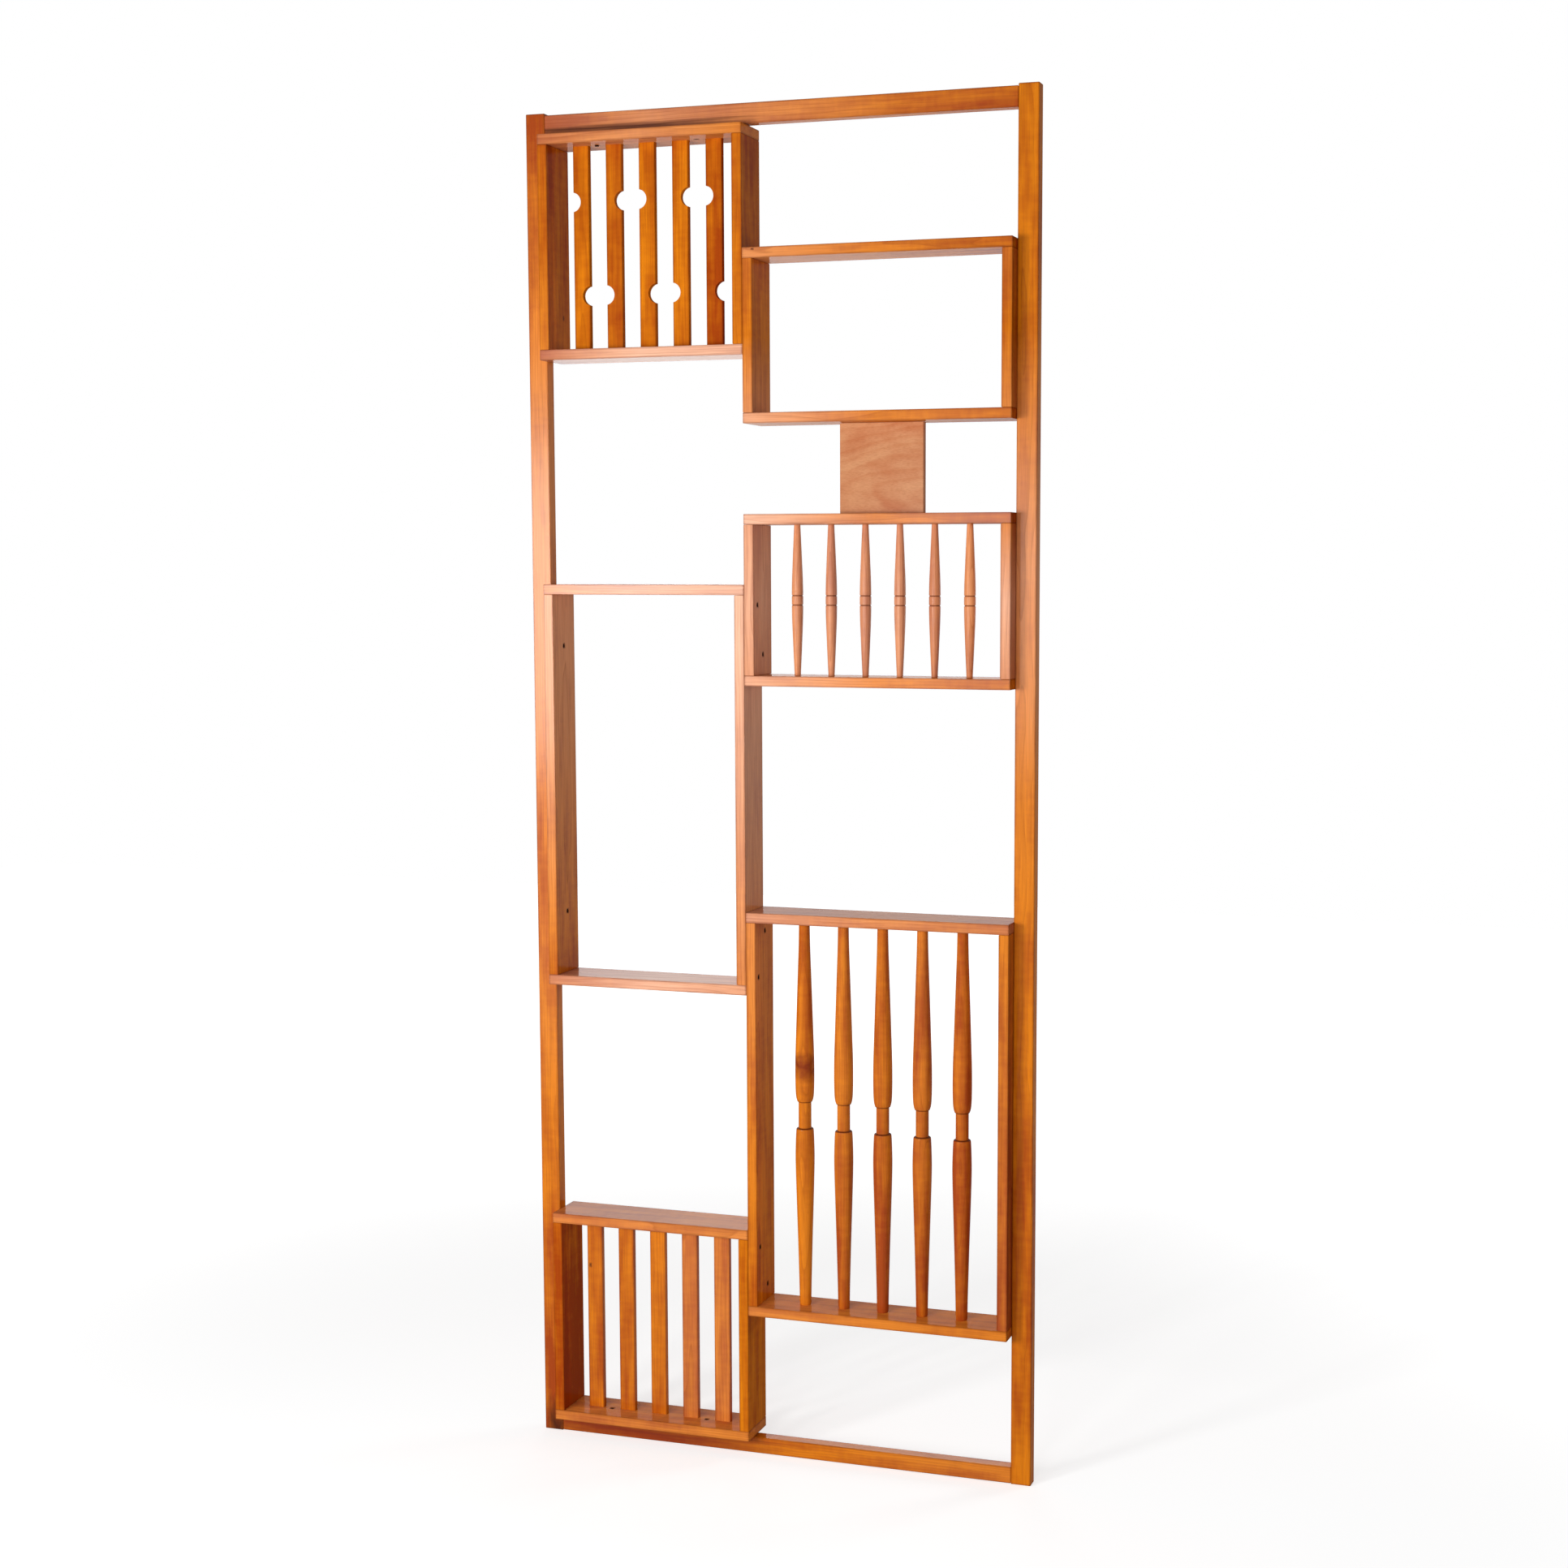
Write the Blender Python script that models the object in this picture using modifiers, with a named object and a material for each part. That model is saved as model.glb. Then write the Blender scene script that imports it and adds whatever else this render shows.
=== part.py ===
"""Floor-to-ceiling wooden room divider: a slim outer frame that holds six board boxes.

Run with: blender --background --python part.py
Metres, +Z up. The front looks along -Y, the feet stand on Z = 0 and the frame is centred on X = 0.
The left column holds a box of notched slats, a tall open box and a box of plain slats. The right
column holds a small open box, a panel, a box of short spindles and a box of tall spindles.
"""
import math
from collections import namedtuple

import bmesh
import bpy
from mathutils import Matrix, Vector

# Fit of the joints
FIT = 0.0003                    # gap between pieces that touch or fit
CUT_OVERRUN = 0.004             # how far a cutter runs past the face that it opens
MERGE_DISTANCE = 0.00005        # for the ends of turned shapes, where the profile meets its axis

# Outer frame
HEIGHT = 2.4
WIDTH = 0.936
STILE_WIDTH = 0.036
FRAME_DEPTH = 0.024
LEFT_BAY = 0.384                # from the left stile to the line where the columns meet
TOP_RAIL_HEIGHT = 0.035
BOTTOM_RAIL_HEIGHT = 0.0295
TOP_RAIL_SETBACK = 0.0035       # the stiles stand this much proud of the top rail
BOTTOM_RAIL_SETBACK = 0.001
FRAME_ARRIS = 0.001
RAIL_TENON_LENGTH = 0.024
RAIL_TENON_THICKNESS = 0.010
RAIL_TENON_SHOULDER = 0.006     # wood left above and below the tenon

# Boxes
BOARD = 0.018
BOX_DEPTH = 0.088
BOARD_ARRIS = 0.0006
TONGUE_LENGTH = 0.006
TONGUE_THICKNESS = 0.006
TONGUE_SETBACK = 0.012          # from the front and back edges, so the joint stays blind

# Heights down each column
TOP_RAIL_CLEARANCE = 0.0025     # above the notched slat box
NOTCHED_SLAT_BOX_HEIGHT = 0.391
TALL_OPEN_BOX_HEIGHT = 0.724
PLAIN_SLAT_BOX_HEIGHT = 0.391
BOTTOM_RAIL_CLEARANCE = 0.002   # under the plain slat box
SMALL_OPEN_BOX_HEIGHT = 0.298
PANEL_BAY = 0.1555              # open space that the panel stands in
SHORT_SPINDLE_BOX_HEIGHT = 0.298
TALL_SPINDLE_BOX_HEIGHT = 0.731

# The boxes are staggered: each stands beside parts of its neighbours in the other column. These
# are the shares of all that overlap where the boxes meet, from the floor up: the plain slats with
# the tall spindles, these with the tall open box, that with the short spindles, and the small
# open box with the notched slats.
OVERLAP_SHARES = (0.237, 0.224, 0.266, 0.273)

# Slats
SLAT_COUNT = 5
SLAT_WIDTH = 0.030
SLAT_THICKNESS = 0.010
SLAT_HOUSING = 0.006            # depth of the mortises in the boards
NOTCH_RADIUS = 0.0172
NOTCH_DEPTH = 0.014
NOTCH_INSET = 0.096             # from the boards' inner faces to the notches' centres
NOTCH_SIDES = 32

# Turned spindles
SPINDLE_HOUSING = 0.008         # depth of the bored holes in the boards
SPINDLE_SIDES = 16
SPINDLE_SPREAD_SHARE = 0.987    # the row stands a little tighter than an even spacing
SHORT_SPINDLE_COUNT = 6
SHORT_END_DIAMETER = 0.0108
SHORT_BELLY_DIAMETER = 0.0199
BAND_HALF_HEIGHT = 0.0082       # from the middle of a short spindle to a groove
GROOVE_HALF_WIDTH = 0.0014
GROOVE_DEPTH = 0.0011
TALL_SPINDLE_COUNT = 5
TALL_END_DIAMETER = 0.019
TALL_BELLY_DIAMETER = 0.0342
TALL_NECK_DIAMETER = 0.0229

# Each pair: share of the way from the board to the middle, share of the swell from end to belly
SHORT_TAPER_SHARES = ((0, 0), (0.16, 0.21), (0.34, 0.45), (0.52, 0.66), (0.68, 0.85), (0.82, 0.96))
TALL_UPPER_SHARES = (
    (0, 0), (0.12, 0.10), (0.24, 0.28), (0.36, 0.47), (0.48, 0.655), (0.60, 0.83), (0.70, 0.965),
    (0.78, 1), (0.834, 0.98), (0.877, 0.92), (0.905, 0.81), (0.920, 0.66), (0.930, 0.50),
)
TALL_LOWER_SHARES = (
    (0, 0), (0.012, 0.11), (0.12, 0.205), (0.24, 0.345), (0.36, 0.49), (0.48, 0.655), (0.60, 0.815),
    (0.69, 0.93), (0.77, 1), (0.82, 0.98), (0.88, 0.90), (0.915, 0.82), (0.926, 0.76), (0.930, 0.64),
)
TALL_NECK_SHARE = 0.932         # where the straight neck starts

# Panel
PANEL_WIDTH = 0.151
PANEL_THICKNESS = 0.013
PANEL_ARRIS = 0.001
PANEL_TONGUE_THICKNESS = 0.005
PANEL_TONGUE_SETBACK = 0.015    # from the panel's side edges

# Wood screws
SCREW_LENGTH = 0.032
SCREW_SHANK_DIAMETER = 0.004
SCREW_HEAD_DIAMETER = 0.0076
SCREW_HEAD_HEIGHT = 0.0024
SCREW_TIP_LENGTH = 0.005
SCREW_SINK = 0.0006             # how far the head lies under the wood's face
SLOT_WIDTH = 0.0011
SLOT_DEPTH = 0.0011
SCREW_SIDES = 12
RAIL_SCREW_OFFSET = 0.005       # in front of the frame's middle plane
SCREW_EDGE = 0.005              # least way from a wall's end to the middle of a screw

# Each pair: share of the height where two walls stand back to back, share of the box depth from
# its middle
NOTCHED_JOINT_SHARES = ((0.85, -0.28), (0.15, 0.02))
SHORT_SPINDLE_JOINT_SHARES = ((0.905, -0.28), (0.237, 0.015))
UPPER_TALL_JOINT_SHARES = ((0.857, 0.042), (0.085, -0.33))
LOWER_TALL_JOINT_SHARES = ((0.914, -0.316), (0.211, 0.10))
STILE_SCREW_SHARES = (0.847, 0.179)     # of a box's height, where it is screwed to its stile

# Colours as linear RGB, and surface values
STILE_COLOUR = (0.44, 0.13, 0.014)
RAIL_COLOUR = (0.48, 0.15, 0.020)
CAP_COLOUR = (0.62, 0.25, 0.070)
WALL_COLOUR = (0.46, 0.13, 0.025)
SLAT_COLOUR = (0.52, 0.15, 0.012)
SPINDLE_COLOUR = (0.50, 0.14, 0.020)
PANEL_COLOUR = (0.58, 0.26, 0.110)
STEEL_COLOUR = (0.20, 0.18, 0.16)
WOOD_ROUGHNESS = 0.42
STEEL_ROUGHNESS = 0.45

# Worked out from the sizes above
LEFT_EDGE = -WIDTH / 2
RIGHT_EDGE = WIDTH / 2
LEFT_STILE_FACE = LEFT_EDGE + STILE_WIDTH
RIGHT_STILE_FACE = RIGHT_EDGE - STILE_WIDTH
COLUMN_LINE = LEFT_STILE_FACE + LEFT_BAY
TOP_RAIL_UNDERSIDE = HEIGHT - TOP_RAIL_SETBACK - TOP_RAIL_HEIGHT
BOTTOM_RAIL_TOP = BOTTOM_RAIL_SETBACK + BOTTOM_RAIL_HEIGHT
CLEAR_HEIGHT = TOP_RAIL_UNDERSIDE - TOP_RAIL_CLEARANCE - BOTTOM_RAIL_TOP - BOTTOM_RAIL_CLEARANCE
LEFT_BOXES = NOTCHED_SLAT_BOX_HEIGHT + TALL_OPEN_BOX_HEIGHT + PLAIN_SLAT_BOX_HEIGHT
RIGHT_BOXES = SMALL_OPEN_BOX_HEIGHT + SHORT_SPINDLE_BOX_HEIGHT + TALL_SPINDLE_BOX_HEIGHT
ALL_OVERLAP = LEFT_BOXES + RIGHT_BOXES + PANEL_BAY - CLEAR_HEIGHT
PLAIN_OVERLAP, TALL_OVERLAP, SHORT_OVERLAP, NOTCHED_OVERLAP = [
    share * ALL_OVERLAP for share in OVERLAP_SHARES]
RIGHT_UPPER_BAY = TOP_RAIL_CLEARANCE + NOTCHED_SLAT_BOX_HEIGHT - NOTCHED_OVERLAP
RIGHT_MIDDLE_BAY = TALL_OPEN_BOX_HEIGHT - SHORT_OVERLAP - TALL_OVERLAP
LEFT_UPPER_BAY = (
    SMALL_OPEN_BOX_HEIGHT + PANEL_BAY + SHORT_SPINDLE_BOX_HEIGHT - NOTCHED_OVERLAP - SHORT_OVERLAP)

Box = namedtuple("Box", "name left right bottom top")
Fixing = namedtuple("Fixing", "name place boards")

cuts = {}


def clear_scene():
    for obj in list(bpy.data.objects):
        bpy.data.objects.remove(obj, do_unlink=True)


def new_collection(name):
    collection = bpy.data.collections.new(name)
    bpy.context.scene.collection.children.link(collection)
    return collection


def finish_node(obj, colour, roughness=WOOD_ROUGHNESS, metallic=0.0):
    """Give a sub-part its own material."""
    material = bpy.data.materials.new(obj.name + "_finish")
    material.use_nodes = True
    shader = material.node_tree.nodes["Principled BSDF"]
    shader.inputs["Base Color"].default_value = (*colour, 1)
    shader.inputs["Roughness"].default_value = roughness
    shader.inputs["Metallic"].default_value = metallic
    obj.data.materials.append(material)


def add_block(bm, size, centre=(0, 0, 0)):
    """A rectangular block of a given size, added to a bmesh."""
    made = bmesh.ops.create_cube(bm, size=1)
    bmesh.ops.scale(bm, vec=Vector(size), verts=made["verts"])
    bmesh.ops.translate(bm, vec=Vector(centre), verts=made["verts"])


def add_cylinder(bm, radius, length, sides, matrix):
    """A solid cylinder along its own Z, placed by a matrix, added to a bmesh."""
    bmesh.ops.create_cone(
        bm, cap_ends=True, segments=sides, radius1=radius, radius2=radius, depth=length, matrix=matrix)


def object_from(name, bm, collection, location=(0, 0, 0)):
    mesh = bpy.data.meshes.new(name)
    bm.to_mesh(mesh)
    bm.free()
    obj = bpy.data.objects.new(name, mesh)
    obj.location = location
    collection.objects.link(obj)
    return obj


def board(name, size, centre, arris, colour):
    """A sawn and planed board with softened arrises."""
    bm = bmesh.new()
    add_block(bm, size)
    obj = object_from(name, bm, parts, centre)
    obj.parent = root
    bevel = obj.modifiers.new("softened_arrises", "BEVEL")
    bevel.width = arris
    bevel.segments = 1
    bevel.limit_method = "NONE"
    finish_node(obj, colour)
    return obj


def hide_helper(obj):
    obj.hide_render = True
    obj.display_type = "WIRE"


def boolean(obj, label, operation, other):
    modifier = obj.modifiers.new(label, "BOOLEAN")
    modifier.operation = operation
    modifier.solver = "EXACT"
    modifier.object = other


def add_core(obj, size):
    """Join a thin core through the middle of a board, whose ends stand out as tongues."""
    bm = bmesh.new()
    add_block(bm, size)
    core = object_from(obj.name + "_core", bm, helpers, obj.location)
    hide_helper(core)
    boolean(obj, "tongues", "UNION", core)


def cut_list(name):
    """The bmesh that collects everything to be cut from a node, in world places."""
    if name not in cuts:
        cuts[name] = bmesh.new()
    return cuts[name]


def make_cuts():
    """Turn each collected bmesh into one cutter for its node."""
    for name, bm in cuts.items():
        cutter = object_from(name + "_cutter", bm, helpers)
        hide_helper(cutter)
        boolean(bpy.data.objects[name], "joinery", "DIFFERENCE", cutter)


def profile_object(name, profile, sides, collection, location=(0, 0, 0)):
    """A turned shape: a profile of (radius, height) points from the top down, spun round Z."""
    bm = bmesh.new()
    points = [bm.verts.new((radius, 0, height)) for radius, height in profile]
    for upper, lower in zip(points[:-1], points[1:]):
        bm.edges.new((upper, lower))
    obj = object_from(name, bm, collection, location)
    spin = obj.modifiers.new("turned", "SCREW")
    spin.angle = math.tau
    spin.steps = sides
    spin.render_steps = sides
    spin.use_merge_vertices = True
    spin.merge_threshold = MERGE_DISTANCE
    spin.use_smooth_shade = True
    return obj


def box_inside(box):
    """The inner left, right, bottom and top of a box."""
    return box.left + BOARD, box.right - BOARD, box.bottom + BOARD, box.top - BOARD


def cut_housing(box, x, size):
    """A rectangular housing for one end of a wall, slat or panel, in both boards of a box."""
    width, thickness, depth = size
    _, _, low, high = box_inside(box)
    height = depth + CUT_OVERRUN
    slot = (width + 2 * FIT, thickness + 2 * FIT, height)
    add_block(cut_list(box.name + "_top"), slot, (x, 0, high + depth - height / 2))
    add_block(cut_list(box.name + "_bottom"), slot, (x, 0, low - depth + height / 2))


def build_frame():
    """Two through stiles and two rails tenoned between them."""
    middle = HEIGHT / 2
    stiles = (("left_stile", LEFT_EDGE + STILE_WIDTH / 2), ("right_stile", RIGHT_EDGE - STILE_WIDTH / 2))
    for name, x in stiles:
        board(name, (STILE_WIDTH, FRAME_DEPTH, HEIGHT), (x, 0, middle), FRAME_ARRIS, STILE_COLOUR)
    rails = (
        ("top_rail", TOP_RAIL_HEIGHT, TOP_RAIL_UNDERSIDE + TOP_RAIL_HEIGHT / 2),
        ("bottom_rail", BOTTOM_RAIL_HEIGHT, BOTTOM_RAIL_TOP - BOTTOM_RAIL_HEIGHT / 2),
    )
    length = RIGHT_STILE_FACE - LEFT_STILE_FACE - 2 * FIT
    for name, height, z in rails:
        rail = board(name, (length, FRAME_DEPTH, height), (0, 0, z), FRAME_ARRIS, RAIL_COLOUR)
        tenon = height - 2 * RAIL_TENON_SHOULDER
        reach = RAIL_TENON_LENGTH - FIT
        add_core(rail, (length + 2 * reach, RAIL_TENON_THICKNESS, tenon))
        mortise = (RAIL_TENON_LENGTH + CUT_OVERRUN, RAIL_TENON_THICKNESS + 2 * FIT, tenon + 2 * FIT)
        inset = RAIL_TENON_LENGTH - mortise[0] / 2
        add_block(cut_list("left_stile"), mortise, (LEFT_STILE_FACE - inset, 0, z))
        add_block(cut_list("right_stile"), mortise, (RIGHT_STILE_FACE + inset, 0, z))


def build_box(box):
    """Top and bottom boards that cap two side walls, with blind tongues at the four corners."""
    width = box.right - box.left
    across = (box.left + box.right) / 2
    caps = (("_top", box.top - BOARD / 2), ("_bottom", box.bottom + BOARD / 2))
    for side, z in caps:
        board(box.name + side, (width, BOX_DEPTH, BOARD), (across, 0, z), BOARD_ARRIS, CAP_COLOUR)
    _, _, low, high = box_inside(box)
    wall_height = high - low - 2 * FIT
    tongue_width = BOX_DEPTH - 2 * TONGUE_SETBACK
    for side, x in (("_left", box.left + BOARD / 2), ("_right", box.right - BOARD / 2)):
        size = (BOARD, BOX_DEPTH, wall_height)
        wall = board(box.name + side, size, (x, 0, (low + high) / 2), BOARD_ARRIS, WALL_COLOUR)
        add_core(wall, (TONGUE_THICKNESS, tongue_width, wall_height + 2 * TONGUE_LENGTH))
        cut_housing(box, x, (TONGUE_THICKNESS, tongue_width, TONGUE_LENGTH + FIT))


def slat_places(box):
    """The middles of a row of slats with equal gaps between them and the walls."""
    left, right, _, _ = box_inside(box)
    gap = (right - left - SLAT_COUNT * SLAT_WIDTH) / (SLAT_COUNT + 1)
    pitch = SLAT_WIDTH + gap
    return [left + gap + SLAT_WIDTH / 2 + index * pitch for index in range(SLAT_COUNT)]


def cut_notches(name, x, side, box):
    """Two half-round notches in a slat: the upper one on one edge, the lower one on the other."""
    _, _, low, high = box_inside(box)
    outside = SLAT_WIDTH / 2 - NOTCH_DEPTH + NOTCH_RADIUS
    turned = Matrix.Rotation(math.pi / 2, 4, "X")
    for z, edge in ((high - NOTCH_INSET, side), (low + NOTCH_INSET, -side)):
        place = Matrix.Translation((x + edge * outside, 0, z)) @ turned
        add_cylinder(cut_list(name), NOTCH_RADIUS, SLAT_THICKNESS + 2 * CUT_OVERRUN, NOTCH_SIDES, place)


def build_slats(box, kind, notched):
    """Five upright slats housed in the box's top and bottom boards."""
    _, _, low, high = box_inside(box)
    length = high - low + 2 * (SLAT_HOUSING - FIT)
    for index, x in enumerate(slat_places(box)):
        name = f"{kind}_{index + 1}"
        board(name, (SLAT_WIDTH, SLAT_THICKNESS, length), (x, 0, (low + high) / 2), BOARD_ARRIS, SLAT_COLOUR)
        cut_housing(box, x, (SLAT_WIDTH, SLAT_THICKNESS, SLAT_HOUSING))
        if notched:
            cut_notches(name, x, -1 if index % 2 == 0 else 1, box)


def taper(shares, end_radius, belly_radius, half):
    """Upper half of a spindle, from the board's face towards the middle, as (radius, height)."""
    return [(end_radius + swell * (belly_radius - end_radius), half * (1 - way)) for way, swell in shares]


def short_profile(half, reach):
    """Both halves of a short spindle are alike: a taper, then a groove beside the middle band."""
    belly = SHORT_BELLY_DIAMETER / 2
    grooves = [
        (belly, BAND_HALF_HEIGHT + GROOVE_HALF_WIDTH),
        (belly - GROOVE_DEPTH, BAND_HALF_HEIGHT),
        (belly, BAND_HALF_HEIGHT - GROOVE_HALF_WIDTH),
    ]
    end = SHORT_END_DIAMETER / 2
    upper = [(0, reach), (end, reach)] + taper(SHORT_TAPER_SHARES, end, belly, half) + grooves
    return upper + mirrored(upper)


def tall_profile(half, reach):
    """Over the neck a tall spindle rounds in, and under it a shoulder starts the lower swell."""
    end = TALL_END_DIAMETER / 2
    belly = TALL_BELLY_DIAMETER / 2
    tip = [(0, reach), (end, reach)]
    neck = [(TALL_NECK_DIAMETER / 2, half * (1 - TALL_NECK_SHARE))]
    upper = tip + taper(TALL_UPPER_SHARES, end, belly, half) + neck
    lower = tip + taper(TALL_LOWER_SHARES, end, belly, half) + neck
    return upper + mirrored(lower)


def mirrored(profile):
    return [(radius, -height) for radius, height in reversed(profile)]


def build_spindles(box, kind, count, end_diameter, profile_of):
    """A row of turned spindles whose plain ends stand in bored holes."""
    left, right, low, high = box_inside(box)
    half = (high - low) / 2
    profile = profile_of(half, half + SPINDLE_HOUSING - FIT)
    pitch = SPINDLE_SPREAD_SHARE * (right - left) / (count + 1)
    first = (left + right) / 2 - pitch * (count - 1) / 2
    bore = SPINDLE_HOUSING + CUT_OVERRUN
    for index in range(count):
        x = first + index * pitch
        name = f"{kind}_{index + 1}"
        spindle = profile_object(name, profile, SPINDLE_SIDES, parts, (x, 0, (low + high) / 2))
        spindle.parent = root
        finish_node(spindle, SPINDLE_COLOUR)
        bore_top = (box.name + "_top", high + SPINDLE_HOUSING - bore / 2)
        bore_bottom = (box.name + "_bottom", low - SPINDLE_HOUSING + bore / 2)
        for cap, z in (bore_top, bore_bottom):
            place = Matrix.Translation((x, 0, z))
            add_cylinder(cut_list(cap), end_diameter / 2 + FIT, bore, SPINDLE_SIDES, place)


def build_panel(above, below):
    """A square panel that stands between two boxes, with a blind tongue in each."""
    height = above.bottom - below.top - 2 * FIT
    x = (above.left + above.right) / 2
    z = (above.bottom + below.top) / 2
    panel = board("panel", (PANEL_WIDTH, PANEL_THICKNESS, height), (x, 0, z), PANEL_ARRIS, PANEL_COLOUR)
    tongue = PANEL_WIDTH - 2 * PANEL_TONGUE_SETBACK
    add_core(panel, (tongue, PANEL_TONGUE_THICKNESS, height + 2 * TONGUE_LENGTH))
    depth = TONGUE_LENGTH + FIT
    slot = (tongue + 2 * FIT, PANEL_TONGUE_THICKNESS + 2 * FIT, depth + CUT_OVERRUN)
    add_block(cut_list(above.name + "_bottom"), slot, (x, 0, above.bottom + depth - slot[2] / 2))
    add_block(cut_list(below.name + "_top"), slot, (x, 0, below.top - depth + slot[2] / 2))


def evaluated_mesh(obj):
    """The finished mesh of a helper with modifiers, as a mesh of its own."""
    depsgraph = bpy.context.evaluated_depsgraph_get()
    depsgraph.update()
    return bpy.data.meshes.new_from_object(obj.evaluated_get(depsgraph))


def screw_patterns():
    """One screw with a slotted head and the hole that takes it, both pointing down from Z = 0."""
    head = SCREW_HEAD_DIAMETER / 2
    shank = SCREW_SHANK_DIAMETER / 2
    neck = -SCREW_SINK - SCREW_HEAD_HEIGHT
    tip = -SCREW_SINK - SCREW_LENGTH
    outline = [
        (0, -SCREW_SINK), (head, -SCREW_SINK), (shank, neck), (shank, tip + SCREW_TIP_LENGTH), (0, tip)]
    screw = profile_object("screw_pattern", outline, SCREW_SIDES, helpers)
    bm = bmesh.new()
    add_block(bm, (SCREW_HEAD_DIAMETER + 2 * CUT_OVERRUN, SLOT_WIDTH, 2 * SLOT_DEPTH), (0, 0, -SCREW_SINK))
    slot = object_from("slot_cutter", bm, helpers)
    boolean(screw, "slot", "DIFFERENCE", slot)
    hole_outline = [
        (0, CUT_OVERRUN), (head + FIT, CUT_OVERRUN), (head + FIT, -SCREW_SINK - FIT),
        (shank + FIT, neck - FIT), (shank + FIT, tip + SCREW_TIP_LENGTH - FIT), (0, tip - 2 * FIT)]
    hole = profile_object("screw_hole_pattern", hole_outline, SCREW_SIDES, helpers)
    for helper in (screw, slot, hole):
        hide_helper(helper)
    return evaluated_mesh(screw), evaluated_mesh(hole)


def cut_screw_holes(fixings, hole):
    """A countersunk clearance hole in the first board and a blind hole in the second one."""
    for fixing in fixings:
        for board_name in fixing.boards:
            bm = cut_list(board_name)
            before = len(bm.verts)
            bm.from_mesh(hole)
            bm.verts.ensure_lookup_table()
            bmesh.ops.transform(bm, matrix=fixing.place, verts=bm.verts[before:])


def drive_screws(fixings, screw):
    """One screw for each fixing; they share their mesh and their steel."""
    for fixing in fixings:
        obj = bpy.data.objects.new(fixing.name, screw)
        obj.location = fixing.place.to_translation()
        obj.rotation_euler = fixing.place.to_euler()
        obj.parent = root
        parts.objects.link(obj)
        if not screw.materials:
            finish_node(obj, STEEL_COLOUR, STEEL_ROUGHNESS, 1.0)


def pointing_left(x, y, z):
    return Matrix.Translation((x, y, z)) @ Matrix.Rotation(math.pi / 2, 4, "Y")


def pointing_right(x, y, z):
    return Matrix.Translation((x, y, z)) @ Matrix.Rotation(-math.pi / 2, 4, "Y")


def pointing_up(x, y, z):
    return Matrix.Translation((x, y, z)) @ Matrix.Rotation(math.pi, 4, "X")


def wall_fixings(name, left_box, right_box, shares, from_left=False):
    """Screws through two walls that stand back to back where a left and a right box overlap."""
    margin = BOARD + SCREW_EDGE
    low = max(left_box.bottom, right_box.bottom) + margin
    high = min(left_box.top, right_box.top) - margin
    boards = (left_box.name + "_right", right_box.name + "_left")
    fixings = []
    for index, (height_share, depth_share) in enumerate(shares):
        y = depth_share * BOX_DEPTH
        z = low + height_share * (high - low)
        if from_left:
            place = pointing_right(left_box.right - BOARD, y, z)
        else:
            place = pointing_left(right_box.left + BOARD, y, z)
        fixings.append(Fixing(f"{name}_{index + 1}", place, boards))
    return fixings


def stile_fixings(name, box, side):
    """Screws from inside a box through its outer wall into the stile beside it."""
    fixings = []
    for index, share in enumerate(STILE_SCREW_SHARES):
        z = box.bottom + share * (box.top - box.bottom)
        if side == "left":
            place = pointing_left(box.left + BOARD, 0, z)
        else:
            place = pointing_right(box.right - BOARD, 0, z)
        fixings.append(Fixing(f"{name}_{index + 1}", place, (f"{box.name}_{side}", f"{side}_stile")))
    return fixings


def rail_fixings(upper, lower):
    """Screws between the outer slats, up into the top rail and down into the bottom rail."""
    fixings = []
    slats = slat_places(upper)
    for number, first, second in ((1, 0, 1), (2, -2, -1)):
        x = (slats[first] + slats[second]) / 2
        above = pointing_up(x, -RAIL_SCREW_OFFSET, upper.top - BOARD)
        below = Matrix.Translation((x, -RAIL_SCREW_OFFSET, lower.bottom + BOARD))
        fixings.append(Fixing(f"top_rail_screw_{number}", above, (upper.name + "_top", "top_rail")))
        fixings.append(Fixing(f"bottom_rail_screw_{number}", below, (lower.name + "_bottom", "bottom_rail")))
    return fixings


def place_boxes():
    """The six boxes, each hung from the frame or from the box above it in its column."""
    left_span = (LEFT_STILE_FACE + FIT, COLUMN_LINE - FIT / 2)
    right_span = (COLUMN_LINE + FIT / 2, RIGHT_STILE_FACE - FIT)
    notched_top = TOP_RAIL_UNDERSIDE - TOP_RAIL_CLEARANCE
    notched = Box("notched_slat_box", *left_span, notched_top - NOTCHED_SLAT_BOX_HEIGHT, notched_top)
    open_top = notched.bottom - LEFT_UPPER_BAY
    tall_open = Box("tall_open_box", *left_span, open_top - TALL_OPEN_BOX_HEIGHT, open_top)
    plain_bottom = BOTTOM_RAIL_TOP + BOTTOM_RAIL_CLEARANCE
    plain = Box("plain_slat_box", *left_span, plain_bottom, plain_bottom + PLAIN_SLAT_BOX_HEIGHT)
    small_top = TOP_RAIL_UNDERSIDE - RIGHT_UPPER_BAY
    small = Box("small_open_box", *right_span, small_top - SMALL_OPEN_BOX_HEIGHT, small_top)
    short_top = small.bottom - PANEL_BAY
    short = Box("short_spindle_box", *right_span, short_top - SHORT_SPINDLE_BOX_HEIGHT, short_top)
    tall_top = short.bottom - RIGHT_MIDDLE_BAY
    tall = Box("tall_spindle_box", *right_span, tall_top - TALL_SPINDLE_BOX_HEIGHT, tall_top)
    return notched, tall_open, plain, small, short, tall


clear_scene()
parts = new_collection("room_divider")
helpers = new_collection("cutters")
helpers.hide_render = True
root = bpy.data.objects.new("room_divider_root", None)
parts.objects.link(root)

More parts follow.
